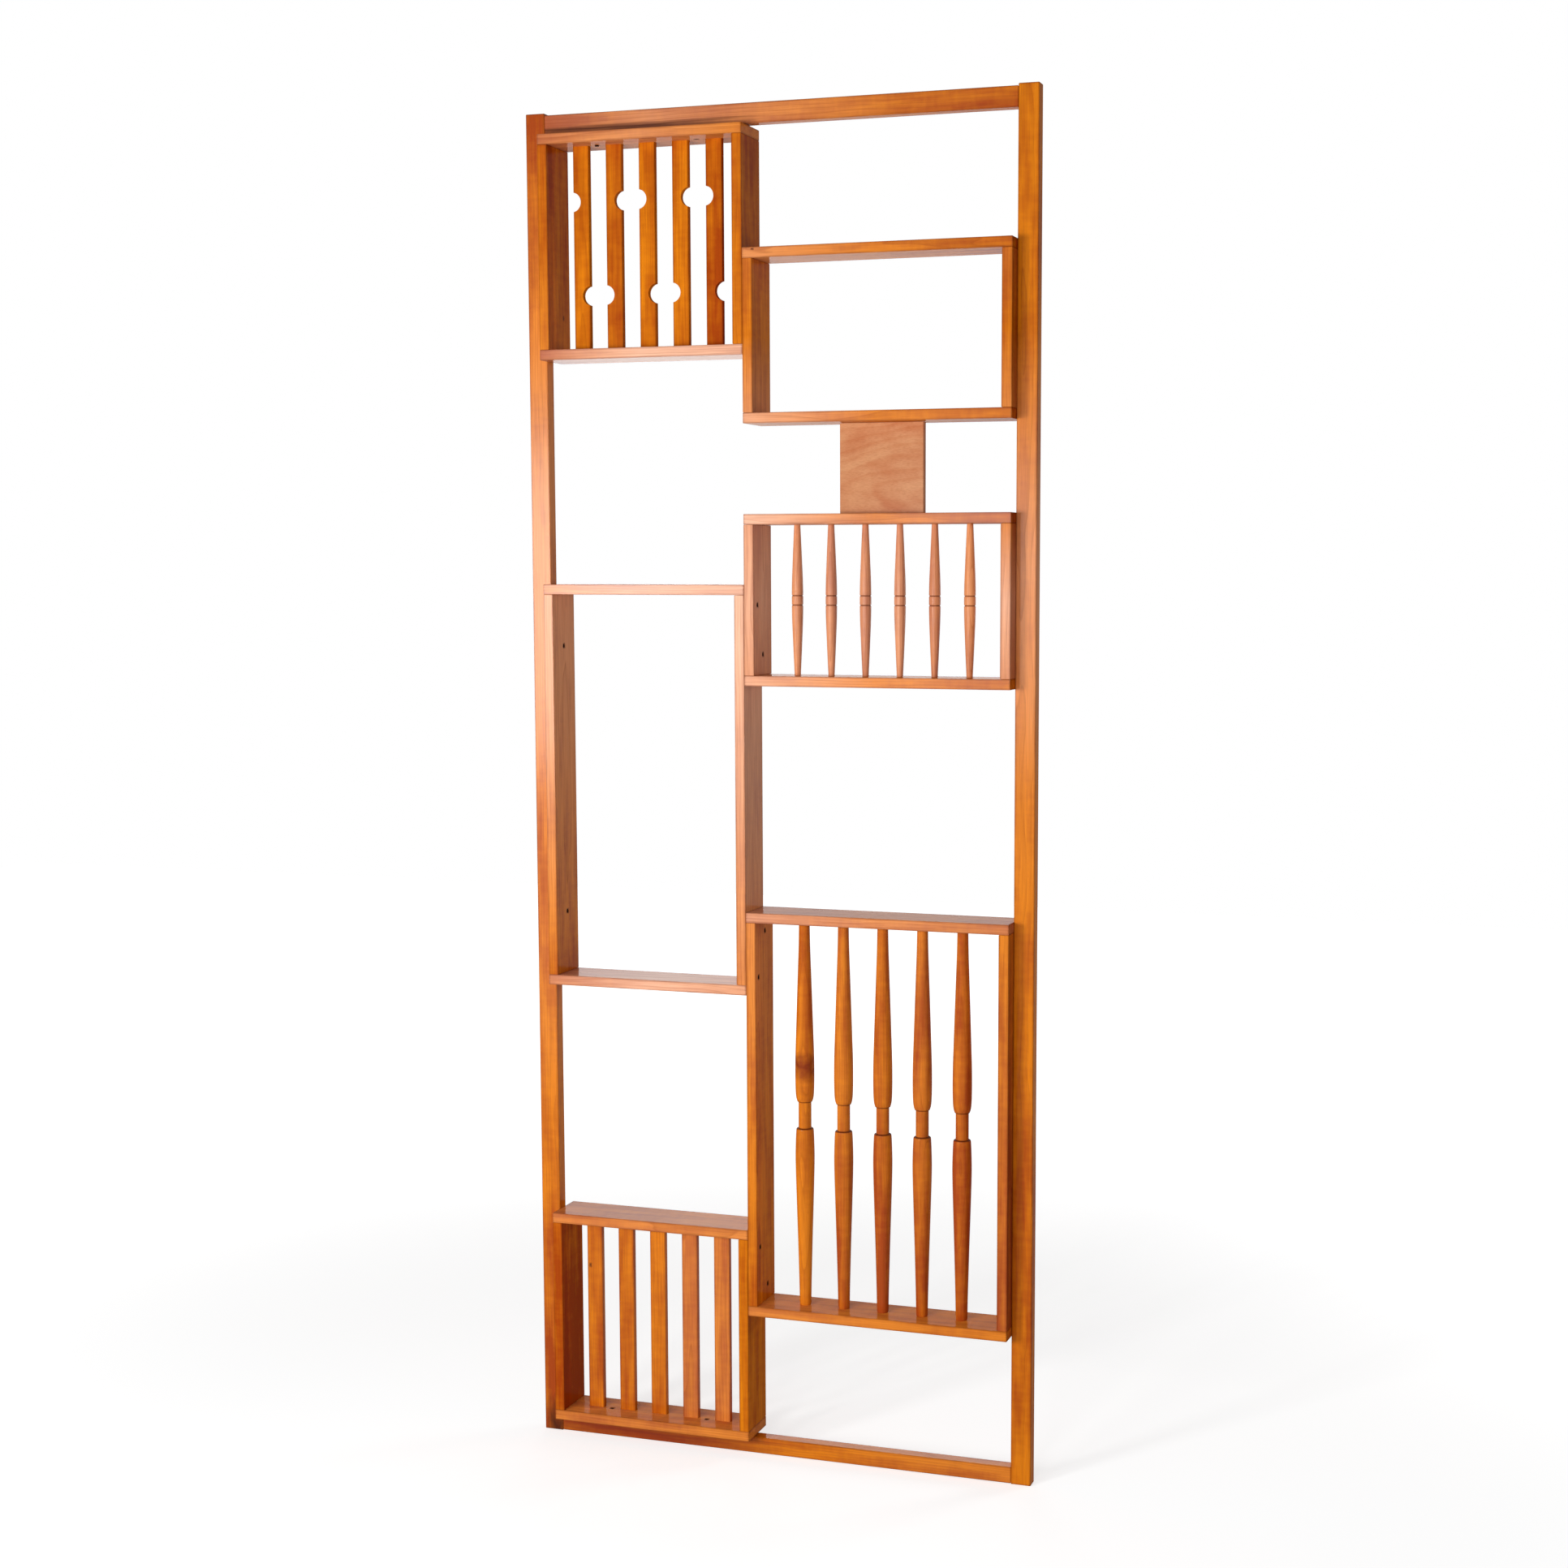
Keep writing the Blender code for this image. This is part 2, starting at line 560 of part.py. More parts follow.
notched_box, tall_open_box, plain_box, small_box, short_box, tall_box = place_boxes()
build_frame()
for each_box in (notched_box, tall_open_box, plain_box, small_box, short_box, tall_box):
    build_box(each_box)
build_slats(notched_box, "notched_slat", True)
build_slats(plain_box, "plain_slat", False)
build_spindles(short_box, "short_spindle", SHORT_SPINDLE_COUNT, SHORT_END_DIAMETER, short_profile)
build_spindles(tall_box, "tall_spindle", TALL_SPINDLE_COUNT, TALL_END_DIAMETER, tall_profile)
build_panel(small_box, short_box)

# The first group has its screws. The second group's holes are there, and take the same screw.
screwed = (
    rail_fixings(notched_box, plain_box)
    + stile_fixings("left_stile_screw", tall_open_box, "left")
    + wall_fixings("short_spindle_box_screw", tall_open_box, short_box, SHORT_SPINDLE_JOINT_SHARES)
    + wall_fixings("tall_spindle_box_screw", tall_open_box, tall_box, UPPER_TALL_JOINT_SHARES))
open_holes = (
    wall_fixings("plain_slat_box_hole", plain_box, tall_box, LOWER_TALL_JOINT_SHARES)
    + wall_fixings("notched_slat_box_hole", notched_box, small_box, NOTCHED_JOINT_SHARES, from_left=True)
    + stile_fixings("small_open_box_hole", small_box, "right")
    + stile_fixings("short_spindle_box_hole", short_box, "right")
    + stile_fixings("tall_spindle_box_hole", tall_box, "right"))
screw_mesh, hole_mesh = screw_patterns()
drive_screws(screwed, screw_mesh)
cut_screw_holes(screwed + open_holes, hole_mesh)
make_cuts()
bpy.context.view_layer.update()
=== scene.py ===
"""Looks of the floor-to-ceiling wooden room divider, laid out as a Blender add-on."""
import math
from collections import namedtuple

import bmesh
import bpy
from bpy.props import FloatProperty, FloatVectorProperty, IntProperty, PointerProperty
from mathutils import Euler, Matrix, Vector


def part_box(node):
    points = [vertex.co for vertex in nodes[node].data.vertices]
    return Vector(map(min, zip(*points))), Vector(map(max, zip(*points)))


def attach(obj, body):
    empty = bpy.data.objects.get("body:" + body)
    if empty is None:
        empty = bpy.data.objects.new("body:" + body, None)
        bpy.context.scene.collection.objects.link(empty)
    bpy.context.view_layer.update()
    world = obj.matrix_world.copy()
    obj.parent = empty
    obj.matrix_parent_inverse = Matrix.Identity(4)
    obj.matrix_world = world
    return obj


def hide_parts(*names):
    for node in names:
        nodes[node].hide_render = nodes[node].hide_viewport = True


bl_info = {
    "name": "Wooden Room Divider",
    "version": (1, 0, 0),
    "blender": (4, 5, 0),
    "location": "3D View > Sidebar > Divider",
    "description": "Varnished wood, turned spindles and screws for a room divider",
    "category": "Object",
}

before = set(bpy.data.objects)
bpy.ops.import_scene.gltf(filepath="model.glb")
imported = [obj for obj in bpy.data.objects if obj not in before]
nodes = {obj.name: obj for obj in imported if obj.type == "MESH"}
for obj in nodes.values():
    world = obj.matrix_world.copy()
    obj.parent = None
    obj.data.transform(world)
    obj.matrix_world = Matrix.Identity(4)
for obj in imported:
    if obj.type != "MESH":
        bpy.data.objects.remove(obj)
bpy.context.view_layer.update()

MM = 0.001

# Pieces of the outer frame, and the body that everything rides on
STILES = ("left_stile", "right_stile")
RAILS = ("top_rail", "bottom_rail")
BODY = "root"

# Distance within which points are merged, and angle from which an edge is sharp
SAME_POINT = 0.01 * MM
SMOOTH_ANGLE = math.radians(35)

# Turned outlines. Each pair: share of the way from the board to the middle, share of the swell
SHORT_TAPER_SHARES = ((0, 0), (0.16, 0.21), (0.34, 0.45), (0.52, 0.66), (0.68, 0.85), (0.82, 0.96))
TALL_UPPER_SHARES = (
    (0, 0), (0.12, 0.10), (0.24, 0.28), (0.36, 0.47), (0.48, 0.655), (0.60, 0.83), (0.70, 0.965),
    (0.78, 1), (0.834, 0.98), (0.877, 0.92), (0.905, 0.81), (0.920, 0.66), (0.930, 0.50),
)
TALL_LOWER_SHARES = (
    (0, 0), (0.02, 0.117), (0.12, 0.205), (0.24, 0.345), (0.36, 0.49), (0.48, 0.655), (0.60, 0.815),
    (0.69, 0.93), (0.77, 1), (0.82, 0.98), (0.88, 0.90), (0.915, 0.82), (0.926, 0.76), (0.930, 0.64),
)
TALL_NECK_SHARE = 0.932

# Edge of a groove's rounded bottom, in shares of its depth and half width
GROOVE_BOTTOM = (0.8, 0.4)

# Painted shade in the step at a tall spindle's shoulder, its width in half widths of a groove
SHOULDER_SHADOW = 1.4

# Finish of each wooden piece. Its tones run from the low or left end to the other, between honey
# (0) and russet (1), and so does its peach (1 is all peach): partly fading by the sun, partly a
# painted highlight of the window's glare. Gloss multiplies the strength of the varnish.
Finish = namedtuple("Finish", "tones faded gloss", defaults=((0, 0), 1))
FRAME_FINISHES = {
    "left_stile": Finish(
        (1, 0.7, 0.05, 0.4, 0.5, 0.05, 0.05, 0.15, 1), (0, 0, 0, 0.1, 0.07, 0.22, 0.2, 0.04, 0), 0.9),
    "right_stile": Finish((0.2, 0.6, 0.25, 0, 0, 0.3, 0.1), (0, 0, 0, 0.05, 0.38, 0, 0), 0.5),
    "top_rail": Finish((1, 0.5, 0.4, 0.35, 0.75), (0.1, 0.38, 0.2, 0.04, 0)),
    "bottom_rail": Finish((0.8, 0.8, 0.6, 0.2, 0.2, 0.3), (0, 0, 0, 0, 0.04, 0.05)),
}
BOX_FINISHES = {
    "notched_slat_box": {
        "top": Finish((0.75, 0.05, 0.05), (0.2, 0.35, 0.1), 0.6),
        "bottom": Finish((0.85, 0.3, 0.85), (0.15, 1, 0.85), 1.8),
        "left": Finish((0, 0.6, 0.75), (0.05, 0, 0), 0.4),
        "right": Finish((0, 0.45, 0.8), gloss=0.4)},
    "tall_open_box": {
        "top": Finish((0.35, 0.65, 0.8), (0.15, 0.55, 0.9)),
        "bottom": Finish((0.95, 0.55, 0.35), (0.3, 1, 0.65)),
        "left": Finish((0.5, 0, 0), (0, 0.3, 0.6), 0.7),
        "right": Finish((0, 0.5, 0), (0.2, 0.6, 1), 0.7)},
    "plain_slat_box": {
        "top": Finish((0.25, 0.3, 0), (0.15, 0.15, 0.15), 0.9),
        "bottom": Finish((0.25, 0.3, 0.1), (0.12, 0.12, 0.1), 0.3),
        "left": Finish((1, 0.9, 0.65), gloss=0.15),
        "right": Finish((0.15, 0.3, 0.15), gloss=0.15)},
    "small_open_box": {
        "top": Finish((0, 0.05, 0.6), (0.3, 0.05, 0)),
        "bottom": Finish((0, 0, 0.7), (0.7, 0.05, 0)),
        "left": Finish((0, 0.2, 0.6), (0.35, 0, 0.05), 0.4),
        "right": Finish((0, 0.45, 0.35), (0.15, 0, 0.05), 0.4)},
    "short_spindle_box": {
        "top": Finish((0.6, 0.05, 0.9), (1, 0.12, 0)),
        "bottom": Finish((0.2, 0, 0.25), (0.75, 0.05, 0), 0.7),
        "left": Finish((0.5, 0.4, 0.6), (0.5, 0.75, 0.6), 0.5),
        "right": Finish((0.5, 0.4, 0.45), (0.35, 0.75, 0.05), 0.5)},
    "tall_spindle_box": {
        "top": Finish((1, 0.35, 0.5), (0.55, 0.3, 0.25), 0.55),
        "bottom": Finish((0, 0.2, 0.1), (0.15, 0.07, 0.05), 0.3),
        "left": Finish((0.35, 0.25, 0.1), (0, 0.05, 0.2), 0.25),
        "right": Finish((0.9, 0.7, 0), (0.05, 0.05, 0.05), 0.4)},
}
NOTCHED_SLAT_FINISHES = (
    Finish((0.4, 0.4), gloss=0.03), Finish((0.6, 0.6), gloss=0.15), Finish((0.25, 0.25), gloss=0.05),
    Finish((0.5, 0.4), gloss=0.1), Finish((0.9, 0.5), gloss=0.05))
PLAIN_SLAT_FINISHES = (
    Finish((0.5, 0.4)), Finish((0.5, 0.5)), Finish((0.4, 0.5)), Finish((0.6, 0.5), (0.1, 0.1)),
    Finish((0.4, 0.3), (0.1, 0.1)))
SHORT_SPINDLE_FINISHES = (
    Finish((0.35, 0.35), (0.48, 0.48), 0.6), Finish((0.65, 0.75), (0.46, 0.46), 0.6),
    Finish((0.7, 0.7), (0.46, 0.46), 0.6), Finish((0.55, 0.55), (0.52, 0.52), 0.6),
    Finish((0.65, 0.65), (0.38, 0.38), 0.6), Finish((0.2, 0.2), (0.4, 0.4), 0.6))
TALL_SPINDLE_FINISHES = (
    Finish((0.05, 0.2, 0.6), (0.02, 0.02), 0.5), Finish((0.85, 0.35, 0.3), (0.02, 0.05), 0.5),
    Finish((0.9, 0.65, 0.35), (0.02, 0.03), 0.5), Finish((0.75, 0.6, 0.45), (0.01, 0.06), 0.5),
    Finish((0.9, 0.8, 0.5), (0.01, 0.03), 0.5))

# Number that the grain of each group's first piece grows from
FIRST_SEEDS = {
    "frame": 1,
    "box": 7,
    "notched_slat": 40,
    "plain_slat": 50,
    "short_spindle": 60,
    "tall_spindle": 70,
}

# Dark colours in the wood, some of them also laid on as painted shade
PITCH_AND_SHADOW_BROWN = "#3A1206"
KNOT_AND_SHADOW_RED = "#7A2A12"
IRON_BLACK = "#24120C"
POOLED_VARNISH_AND_SHADE = "#4A1608"

# Knots, and painted shadows where the boxes stand out over the rails and at the foot of the left
# stile. Shares are the way through the piece's box in X, Y and Z, and the reach is in millimetres
Spot = namedtuple("Spot", "shares reach colour")
KNOTS_AND_SHADOWS = {
    "notched_slat_box_left": Spot((1, 0.7, 0.18), (3.5, 3.5, 6), PITCH_AND_SHADOW_BROWN),
    "small_open_box_top": Spot((0.04, 0, 0.8), (4, 3.5, 2.5), PITCH_AND_SHADOW_BROWN),
    "plain_slat_1": Spot((0.2, 0, 0.75), (3.5, 3.5, 5.5), PITCH_AND_SHADOW_BROWN),
    "tall_spindle_1": Spot((0.5, 0, 0.623), (40, 40, 31), KNOT_AND_SHADOW_RED),
    # The last three are painted shade: at the foot of the left stile, and the shadows that the boxes
    # cast up on the top rail and down on the bottom rail
    "left_stile": Spot((0.7, 0, 0), (26, 26, 80), PITCH_AND_SHADOW_BROWN),
    "top_rail": Spot((0.18, 0, 0.2), (300, 60, 8), PITCH_AND_SHADOW_BROWN),
    "bottom_rail": Spot((0.24, 0, 0.4), (290, 60, 14), KNOT_AND_SHADOW_RED),
}

# Ragged edge of a knot, a stain or a painted shadow, in shares of its reach
Blot = namedtuple("Blot", "place reach colour")
BLOT_NOISE = {"Scale": 2.2, "Detail": 2.0}
BLOT_RAGGEDNESS = 1.2
BLOT_FADE = {"From Min": 0.5, "From Max": 1.5, "To Min": 0.9, "To Max": 0.0}
IRON_STAIN_REACH = 6.5 * MM

# Figure of the wood. Drift and cloud are sizes across and along the grain, and the drift has its
# detail too. Each pair of a ring's shades: share of its width, and how late its wood is there
Figure = namedtuple(
    "Figure", "drift wander ring_shades ring_strength fibre_length fibre_start fibre_strength cloud")
BOARD_FIGURE = Figure(
    drift=(45 * MM, 320 * MM, 2.0),
    wander=14 * MM,
    ring_shades=((0, 0.0), (0.55, 0.10), (0.90, 0.55), (0.97, 1.0), (1, 0.1)),
    ring_strength=0.34,
    fibre_length=60 * MM,
    fibre_start=0.35,
    fibre_strength=0.28,
    cloud=(18 * MM, 150 * MM))
PANEL_FIGURE = Figure(
    drift=(55 * MM, 140 * MM, 1.0),
    wander=34 * MM,
    ring_shades=((0, 0.1), (0.4, 0.2), (0.72, 0.8), (0.84, 1.0), (0.95, 0.5), (1, 0.1)),
    ring_strength=0.22,
    fibre_length=30 * MM,
    fibre_start=0.4,
    fibre_strength=0.25,
    cloud=(36 * MM, 80 * MM))
FIBRE_DETAIL = 3.0
FIBRE_FULL = 0.75

# How the tone drifts in clouds, and in ripples of a size across and along the grain
TONE_DRIFT = 0.4
TONE_RIPPLE = 0.1
CURL = (30 * MM, 11 * MM)
# Least share of the peach in its patches. The peach is partly sun-fading and partly painted glare
LEAST_FADED_AND_GLARED = 0.8

# Rubbed edges of a board
ARRIS_REACH = 3.5 * MM
ARRIS_DARKENING = 0.3

# Where the heart of the tree lay beside a board. From one seed to the next it turns round the
# board, by an angle in radians, moves off in steps, and shifts along the grain
PITH_TURN = 2.4
PITH_NEAREST = 26 * MM
PITH_STEP = 13 * MM
PITH_STEPS = 5
PITH_SHIFT = 0.37

# The square panel, whose rings lean against its face
PANEL_PITH = (-68 * MM, 42 * MM, 20 * MM)
PANEL_TILT = math.radians(13)
PANEL_PATCHES = {"From Min": 0.38, "From Max": 0.62}
PANEL_RUSSET = 0.34
PANEL_GLOSS = 0.5

# Varnish, pores, and the skin on old steel
VARNISH_IOR = 1.5
VARNISH_ROUGHNESS = 0.17
WET_WOOD_ROUGHNESS = {"To Min": 0.36, "To Max": 0.46}
PORE_STRENGTH = 0.12
PORE_DEPTH = 0.15 * MM
# Strength of the dark band: collected varnish in the grooves, painted shade at the shoulders
POOLED_AND_SHADE_STRENGTH = 0.9
OXIDE_PATCH = 1.5 * MM
OXIDE_ROUGHNESS = {"To Min": 0.5, "To Max": 0.7}
OXIDE_DARKENING = 0.5

# Screws. From one to the next, the slot was left turned by an angle in radians
Seat = namedtuple("Seat", "screw board point way packed")
SCREW_SIDES = 32
SCREW_RIM = 0.25 * MM
SLOT_TURN = 1.3

# How far a head that wasn't driven home stands out of the wood
PROUD_HEADS = {"top_rail_screw_1": 2.5 * MM}

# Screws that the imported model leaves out; their holes are in the boards. Each pair: share of the
# height where two walls stand back to back, share of the box depth from its middle
NOTCHED_JOINT_SHARES = ((0.85, -0.28), (0.15, 0.02))
LOWER_TALL_JOINT_SHARES = ((0.914, -0.316), (0.211, 0.10))
STILE_SCREW_SHARES = (0.847, 0.179)
TONGUE_LENGTH = 6 * MM
SCREW_EDGE = 5 * MM

# Soft lamps, each with the name of the setting that holds its power
Lamp = namedtuple("Lamp", "name place width height power")
LAMPS = (
    Lamp("window", (-2.26, -4.2, 1.45), 0.66, 1.15, "window_power"),
    Lamp("far_window", (-0.75, -4.2, 1.5), 0.6, 0.9, "far_window_power"),
    Lamp("fill", (0.55, -4.2, 1.5), 1.0, 1.0, "fill_power"),
    Lamp("near_lamp", (-0.7, -2.4, 1.25), 0.5, 0.8, "near_power"),
    Lamp("back_panel", (-1.7, 4.5, 2.05), 2.0, 0.9, "panel_power"),
    Lamp("rear_lamp", (2.0, 1.9, 1.45), 0.8, 0.8, "rear_power"),
)
LAMPS_AIM = (0, 0, 1.2)

# Paper floor, which is lifted to white from its middle outwards
PAPER_GREY = "#CFCFCF"
PAPER_ROUGHNESS = 0.9
PAPER_LIFT = {"From Min": 1.0, "From Max": 4.0, "To Min": 0.62, "To Max": 1.0}

# Framing of the photograph
SENSOR_WIDTH = 36
SHIFT_RIGHT = -0.0644
SHIFT_UP = 0.0229

# Range that most of a noise texture lies in, and radians that a wave texture runs in each unit
NOISE_RANGE = {"From Min": 0.3, "From Max": 0.7}
WAVE_RADIANS = 20

# Sockets of a Mix node of colours
MIX_A = 6
MIX_B = 7
MIX_RESULT = 2


def linear(hex_colour):
    """An sRGB hex colour as linear RGB."""
    channels = [int(hex_colour[i:i + 2], 16) / 255 for i in (1, 3, 5)]
    return tuple(c / 12.92 if c <= 0.04045 else ((c + 0.055) / 1.055) ** 2.4 for c in channels)


class DividerFinish(bpy.types.PropertyGroup):
    honey: FloatVectorProperty(
        name="Honey", description="Most golden wood under the varnish", subtype="COLOR",
        default=linear("#E08014"))
    russet: FloatVectorProperty(
        name="Russet", description="Reddest wood under the varnish", subtype="COLOR",
        default=linear("#A5430F"))
    # Peach also stands for the window's glare, painted into the wood as a highlight
    peach: FloatVectorProperty(
        name="Peach", description="Wood that the sun has faded", subtype="COLOR",
        default=linear("#F4BC9C"))
    veneer: FloatVectorProperty(
        name="Veneer", description="Wood of the square panel", subtype="COLOR",
        default=linear("#CA8F64"))
    latewood: FloatVectorProperty(
        name="Latewood", description="Dark line of each growth ring", subtype="COLOR",
        default=linear("#8A3A08"))
    steel: FloatVectorProperty(
        name="Steel", description="Browned screw heads", subtype="COLOR", default=linear("#3A2014"))
    ring_width: FloatProperty(
        name="Ring Width", description="Spacing of the growth rings", subtype="DISTANCE",
        default=4.5 * MM)
    panel_ring_width: FloatProperty(
        name="Panel Ring Width", description="Spacing of the bands in the square panel",
        subtype="DISTANCE", default=14 * MM)
    fibre_width: FloatProperty(
        name="Fibre Width", description="Width of the fine streaks, drawn coarse enough to show",
        subtype="DISTANCE", default=1.6 * MM)
    varnish: FloatProperty(
        name="Varnish", description="Strength of the clear coat", subtype="FACTOR", default=0.25,
        min=0, max=1)


class DividerTurning(bpy.types.PropertyGroup):
    sides: IntProperty(name="Sides", description="Faces round a spindle", default=48, min=12)
    steps: IntProperty(name="Steps", description="Rings between two outline points", default=4, min=1)
    short_end: FloatProperty(
        name="Short Spindle End", description="Diameter at the board", subtype="DISTANCE",
        default=10.8 * MM)
    band_half: FloatProperty(
        name="Band", description="From the middle of a short spindle to a groove",
        subtype="DISTANCE", default=8.2 * MM)
    groove_half: FloatProperty(
        name="Groove", description="Half the width of a turned groove", subtype="DISTANCE",
        default=1.4 * MM)
    groove_depth: FloatProperty(
        name="Groove Depth", description="Depth of a turned groove", subtype="DISTANCE",
        default=1.1 * MM)
    tall_end: FloatProperty(
        name="Tall Spindle End", description="Diameter at the board", subtype="DISTANCE",
        default=19 * MM)
    tall_neck: FloatProperty(
        name="Tall Spindle Neck", description="Diameter of the neck", subtype="DISTANCE",
        default=22.9 * MM)
    housing: FloatProperty(
        name="Housing", description="Length of a spindle's end inside a board",
        subtype="DISTANCE", default=7.7 * MM)


class DividerScrews(bpy.types.PropertyGroup):
    head: FloatProperty(
        name="Head", description="Diameter of a screw head", subtype="DISTANCE", default=7.6 * MM)
    head_height: FloatProperty(
        name="Head Height", description="Height of the countersunk cone", subtype="DISTANCE",
        default=2.4 * MM)
    shank: FloatProperty(
        name="Shank", description="Diameter of the shank", subtype="DISTANCE", default=4 * MM)
    length: FloatProperty(
        name="Length", description="From the face of the head to the tip", subtype="DISTANCE",
        default=32 * MM)
    tip: FloatProperty(
        name="Tip", description="Length of the point", subtype="DISTANCE", default=5 * MM)
    sink: FloatProperty(
        name="Sink", description="How far a head lies under the wood's face",
        subtype="DISTANCE", default=0.6 * MM)
    slot: FloatProperty(
        name="Slot", description="Width and depth of the slot", subtype="DISTANCE", default=1.1 * MM)


class DividerStage(bpy.types.PropertyGroup):
    camera_x: FloatProperty(
        name="Camera Right", description="How far right of the middle the camera stands",
        subtype="DISTANCE", default=1.45998)
    camera_distance: FloatProperty(
        name="Camera Distance", description="How far before the divider the camera stands",
        subtype="DISTANCE", default=3.92072)
    eye_height: FloatProperty(
        name="Eye Height", description="Height of the camera", subtype="DISTANCE", default=1.59754)
    look_left: FloatProperty(
        name="Look Left", description="Turn of the camera", subtype="ANGLE",
        default=math.radians(17.868))
    look_down: FloatProperty(
        name="Look Down", description="Tilt of the camera", subtype="ANGLE",
        default=math.radians(5.984))
    lens: FloatProperty(
        name="Lens", description="Focal length on a 36 mm sensor, in mm", default=54.57)
    window_power: FloatProperty(
        name="Window", description="Power of the soft light from the front left, in watts",
        default=97)
    near_power: FloatProperty(
        name="Near Lamp", description="Power of the soft light close by, in watts", default=10)
    far_window_power: FloatProperty(
        name="Far Window", description="Power of the soft light from the front, in watts",
        default=27)
    fill_power: FloatProperty(
        name="Fill", description="Power of the soft light straight from the front, in watts",
        default=47)
    panel_power: FloatProperty(
        name="Back Panel", description="Power of the soft light from behind, in watts", default=24)
    rear_power: FloatProperty(
        name="Rear Lamp", description="Power of the soft light from behind on the right, in watts",
        default=14)
    room_light: FloatProperty(
        name="Room Light", description="Even light from all sides", default=0.23, min=0)
    floor_size: FloatProperty(
        name="Floor", description="Side of the pale floor", subtype="DISTANCE", default=14)


# Materials


def new_material(name):
    """A material with its node tree and its shader."""
    material = bpy.data.materials.new(name)
    material.use_nodes = True
    return material, material.node_tree, material.node_tree.nodes["Principled BSDF"]


def add_node(tree, kind, inputs=None, **settings):
    """Add a node, set its settings, then set or link its inputs by name or number."""
    node = tree.nodes.new(kind)
    for key, value in settings.items():
        setattr(node, key, value)
    for key, value in (inputs or {}).items():
        if isinstance(value, bpy.types.NodeSocket):
            tree.links.new(value, node.inputs[key])
        else:
            node.inputs[key].default_value = value
    return node


def shade_ramp(ramp_node, stops):
    """Replace a ramp's stops with (place, brightness) pairs."""
    ramp = ramp_node.color_ramp
    while len(ramp.elements) > 1:
        ramp.elements.remove(ramp.elements[-1])
    for index, (place, value) in enumerate(stops):
        element = ramp.elements[0] if index == 0 else ramp.elements.new(place)
        element.position = place
        element.color = (value, value, value, 1)
    return ramp_node.outputs["Color"]


def evenly(tree, way, values):
    """Values spread evenly over a way from 0 to 1, with straight runs between them."""
    last = len(values) - 1
    stops = [(index / last, value) for index, value in enumerate(values)]
    return shade_ramp(add_node(tree, "ShaderNodeValToRGB", {"Fac": way}), stops)


def mixed(a, b, share):
    """A colour between two others."""
    return tuple(x + (y - x) * share for x, y in zip(a, b))


def grain_space(tree, centre, along_x, pith, tilt=0):
    """Object coordinates turned so that the grain runs along Z and the pith stands on Z."""
    turn = Euler((tilt, -math.pi / 2 if along_x else 0, 0), "YXZ").to_matrix()
    place = turn @ -Vector(centre) + Vector(pith)
    coords = add_node(tree, "ShaderNodeTexCoord").outputs["Object"]
    return add_node(
        tree, "ShaderNodeMapping",
        {"Vector": coords, "Location": place, "Rotation": turn.to_euler()}).outputs[0]


def streaks(tree, vector, across, along, detail=2.0):
    """Noise drawn out along the grain, in real sizes across and along it."""
    stretched = add_node(
        tree, "ShaderNodeMapping",
        {"Vector": vector, "Scale": (1 / across, 1 / across, 1 / along)}).outputs[0]
    return add_node(
        tree, "ShaderNodeTexNoise", {"Vector": stretched, "Scale": 1.0, "Detail": detail})


def ring_lines(tree, space, figure, ring_width):
    """How late in its year the wood grew, in rings that wander a little."""
    drift = streaks(tree, space, *figure.drift).outputs["Color"]
    wander = add_node(
        tree, "ShaderNodeVectorMath", {0: drift, 1: (figure.wander, figure.wander, 0), 2: space},
        operation="MULTIPLY_ADD").outputs[0]
    growth = add_node(
        tree, "ShaderNodeTexWave",
        {"Vector": wander, "Scale": math.tau / WAVE_RADIANS / ring_width},
        wave_type="RINGS", rings_direction="Z", wave_profile="SAW").outputs["Fac"]
    return shade_ramp(add_node(tree, "ShaderNodeValToRGB", {"Fac": growth}), figure.ring_shades)


def toned_wood(tree, space, way, cloud, look):
    """Wood between honey and russet, in clouds and ripples, and peach where its finish says.

    The peach is partly fading by the sun and partly a painted highlight of the window's glare.
    """
    finish = bpy.context.scene.divider_finish
    drifting = add_node(
        tree, "ShaderNodeMapRange",
        {"Value": cloud, **NOISE_RANGE, "To Min": -TONE_DRIFT, "To Max": TONE_DRIFT}).outputs[0]
    tone = add_node(
        tree, "ShaderNodeMath", {0: evenly(tree, way, look.tones), 1: drifting},
        operation="ADD").outputs[0]
    curl = streaks(tree, space, *CURL).outputs["Fac"]
    rippled = add_node(
        tree, "ShaderNodeMapRange",
        {"Value": curl, **NOISE_RANGE, "To Min": -TONE_RIPPLE, "To Max": TONE_RIPPLE}).outputs[0]
    tone = add_node(
        tree, "ShaderNodeMath", {0: tone, 1: rippled}, operation="ADD", use_clamp=True).outputs[0]
    wood = add_node(
        tree, "ShaderNodeMix",
        {"Factor": tone, MIX_A: (*finish.honey, 1), MIX_B: (*finish.russet, 1)},
        data_type="RGBA").outputs[MIX_RESULT]
    if not any(look.faded):
        return wood
    # Peach laid over the wood: partly fading by the sun, partly a painted highlight of the glare
    patchy = add_node(
        tree, "ShaderNodeMapRange",
        {"Value": cloud, "From Min": NOISE_RANGE["From Max"], "From Max": NOISE_RANGE["From Min"],
         "To Min": LEAST_FADED_AND_GLARED}).outputs[0]
    faded = add_node(
        tree, "ShaderNodeMath", {0: evenly(tree, way, look.faded), 1: patchy},
        operation="MULTIPLY").outputs[0]
    return add_node(
        tree, "ShaderNodeMix", {"Factor": faded, MIX_A: wood, MIX_B: (*finish.peach, 1)},
        data_type="RGBA").outputs[MIX_RESULT]


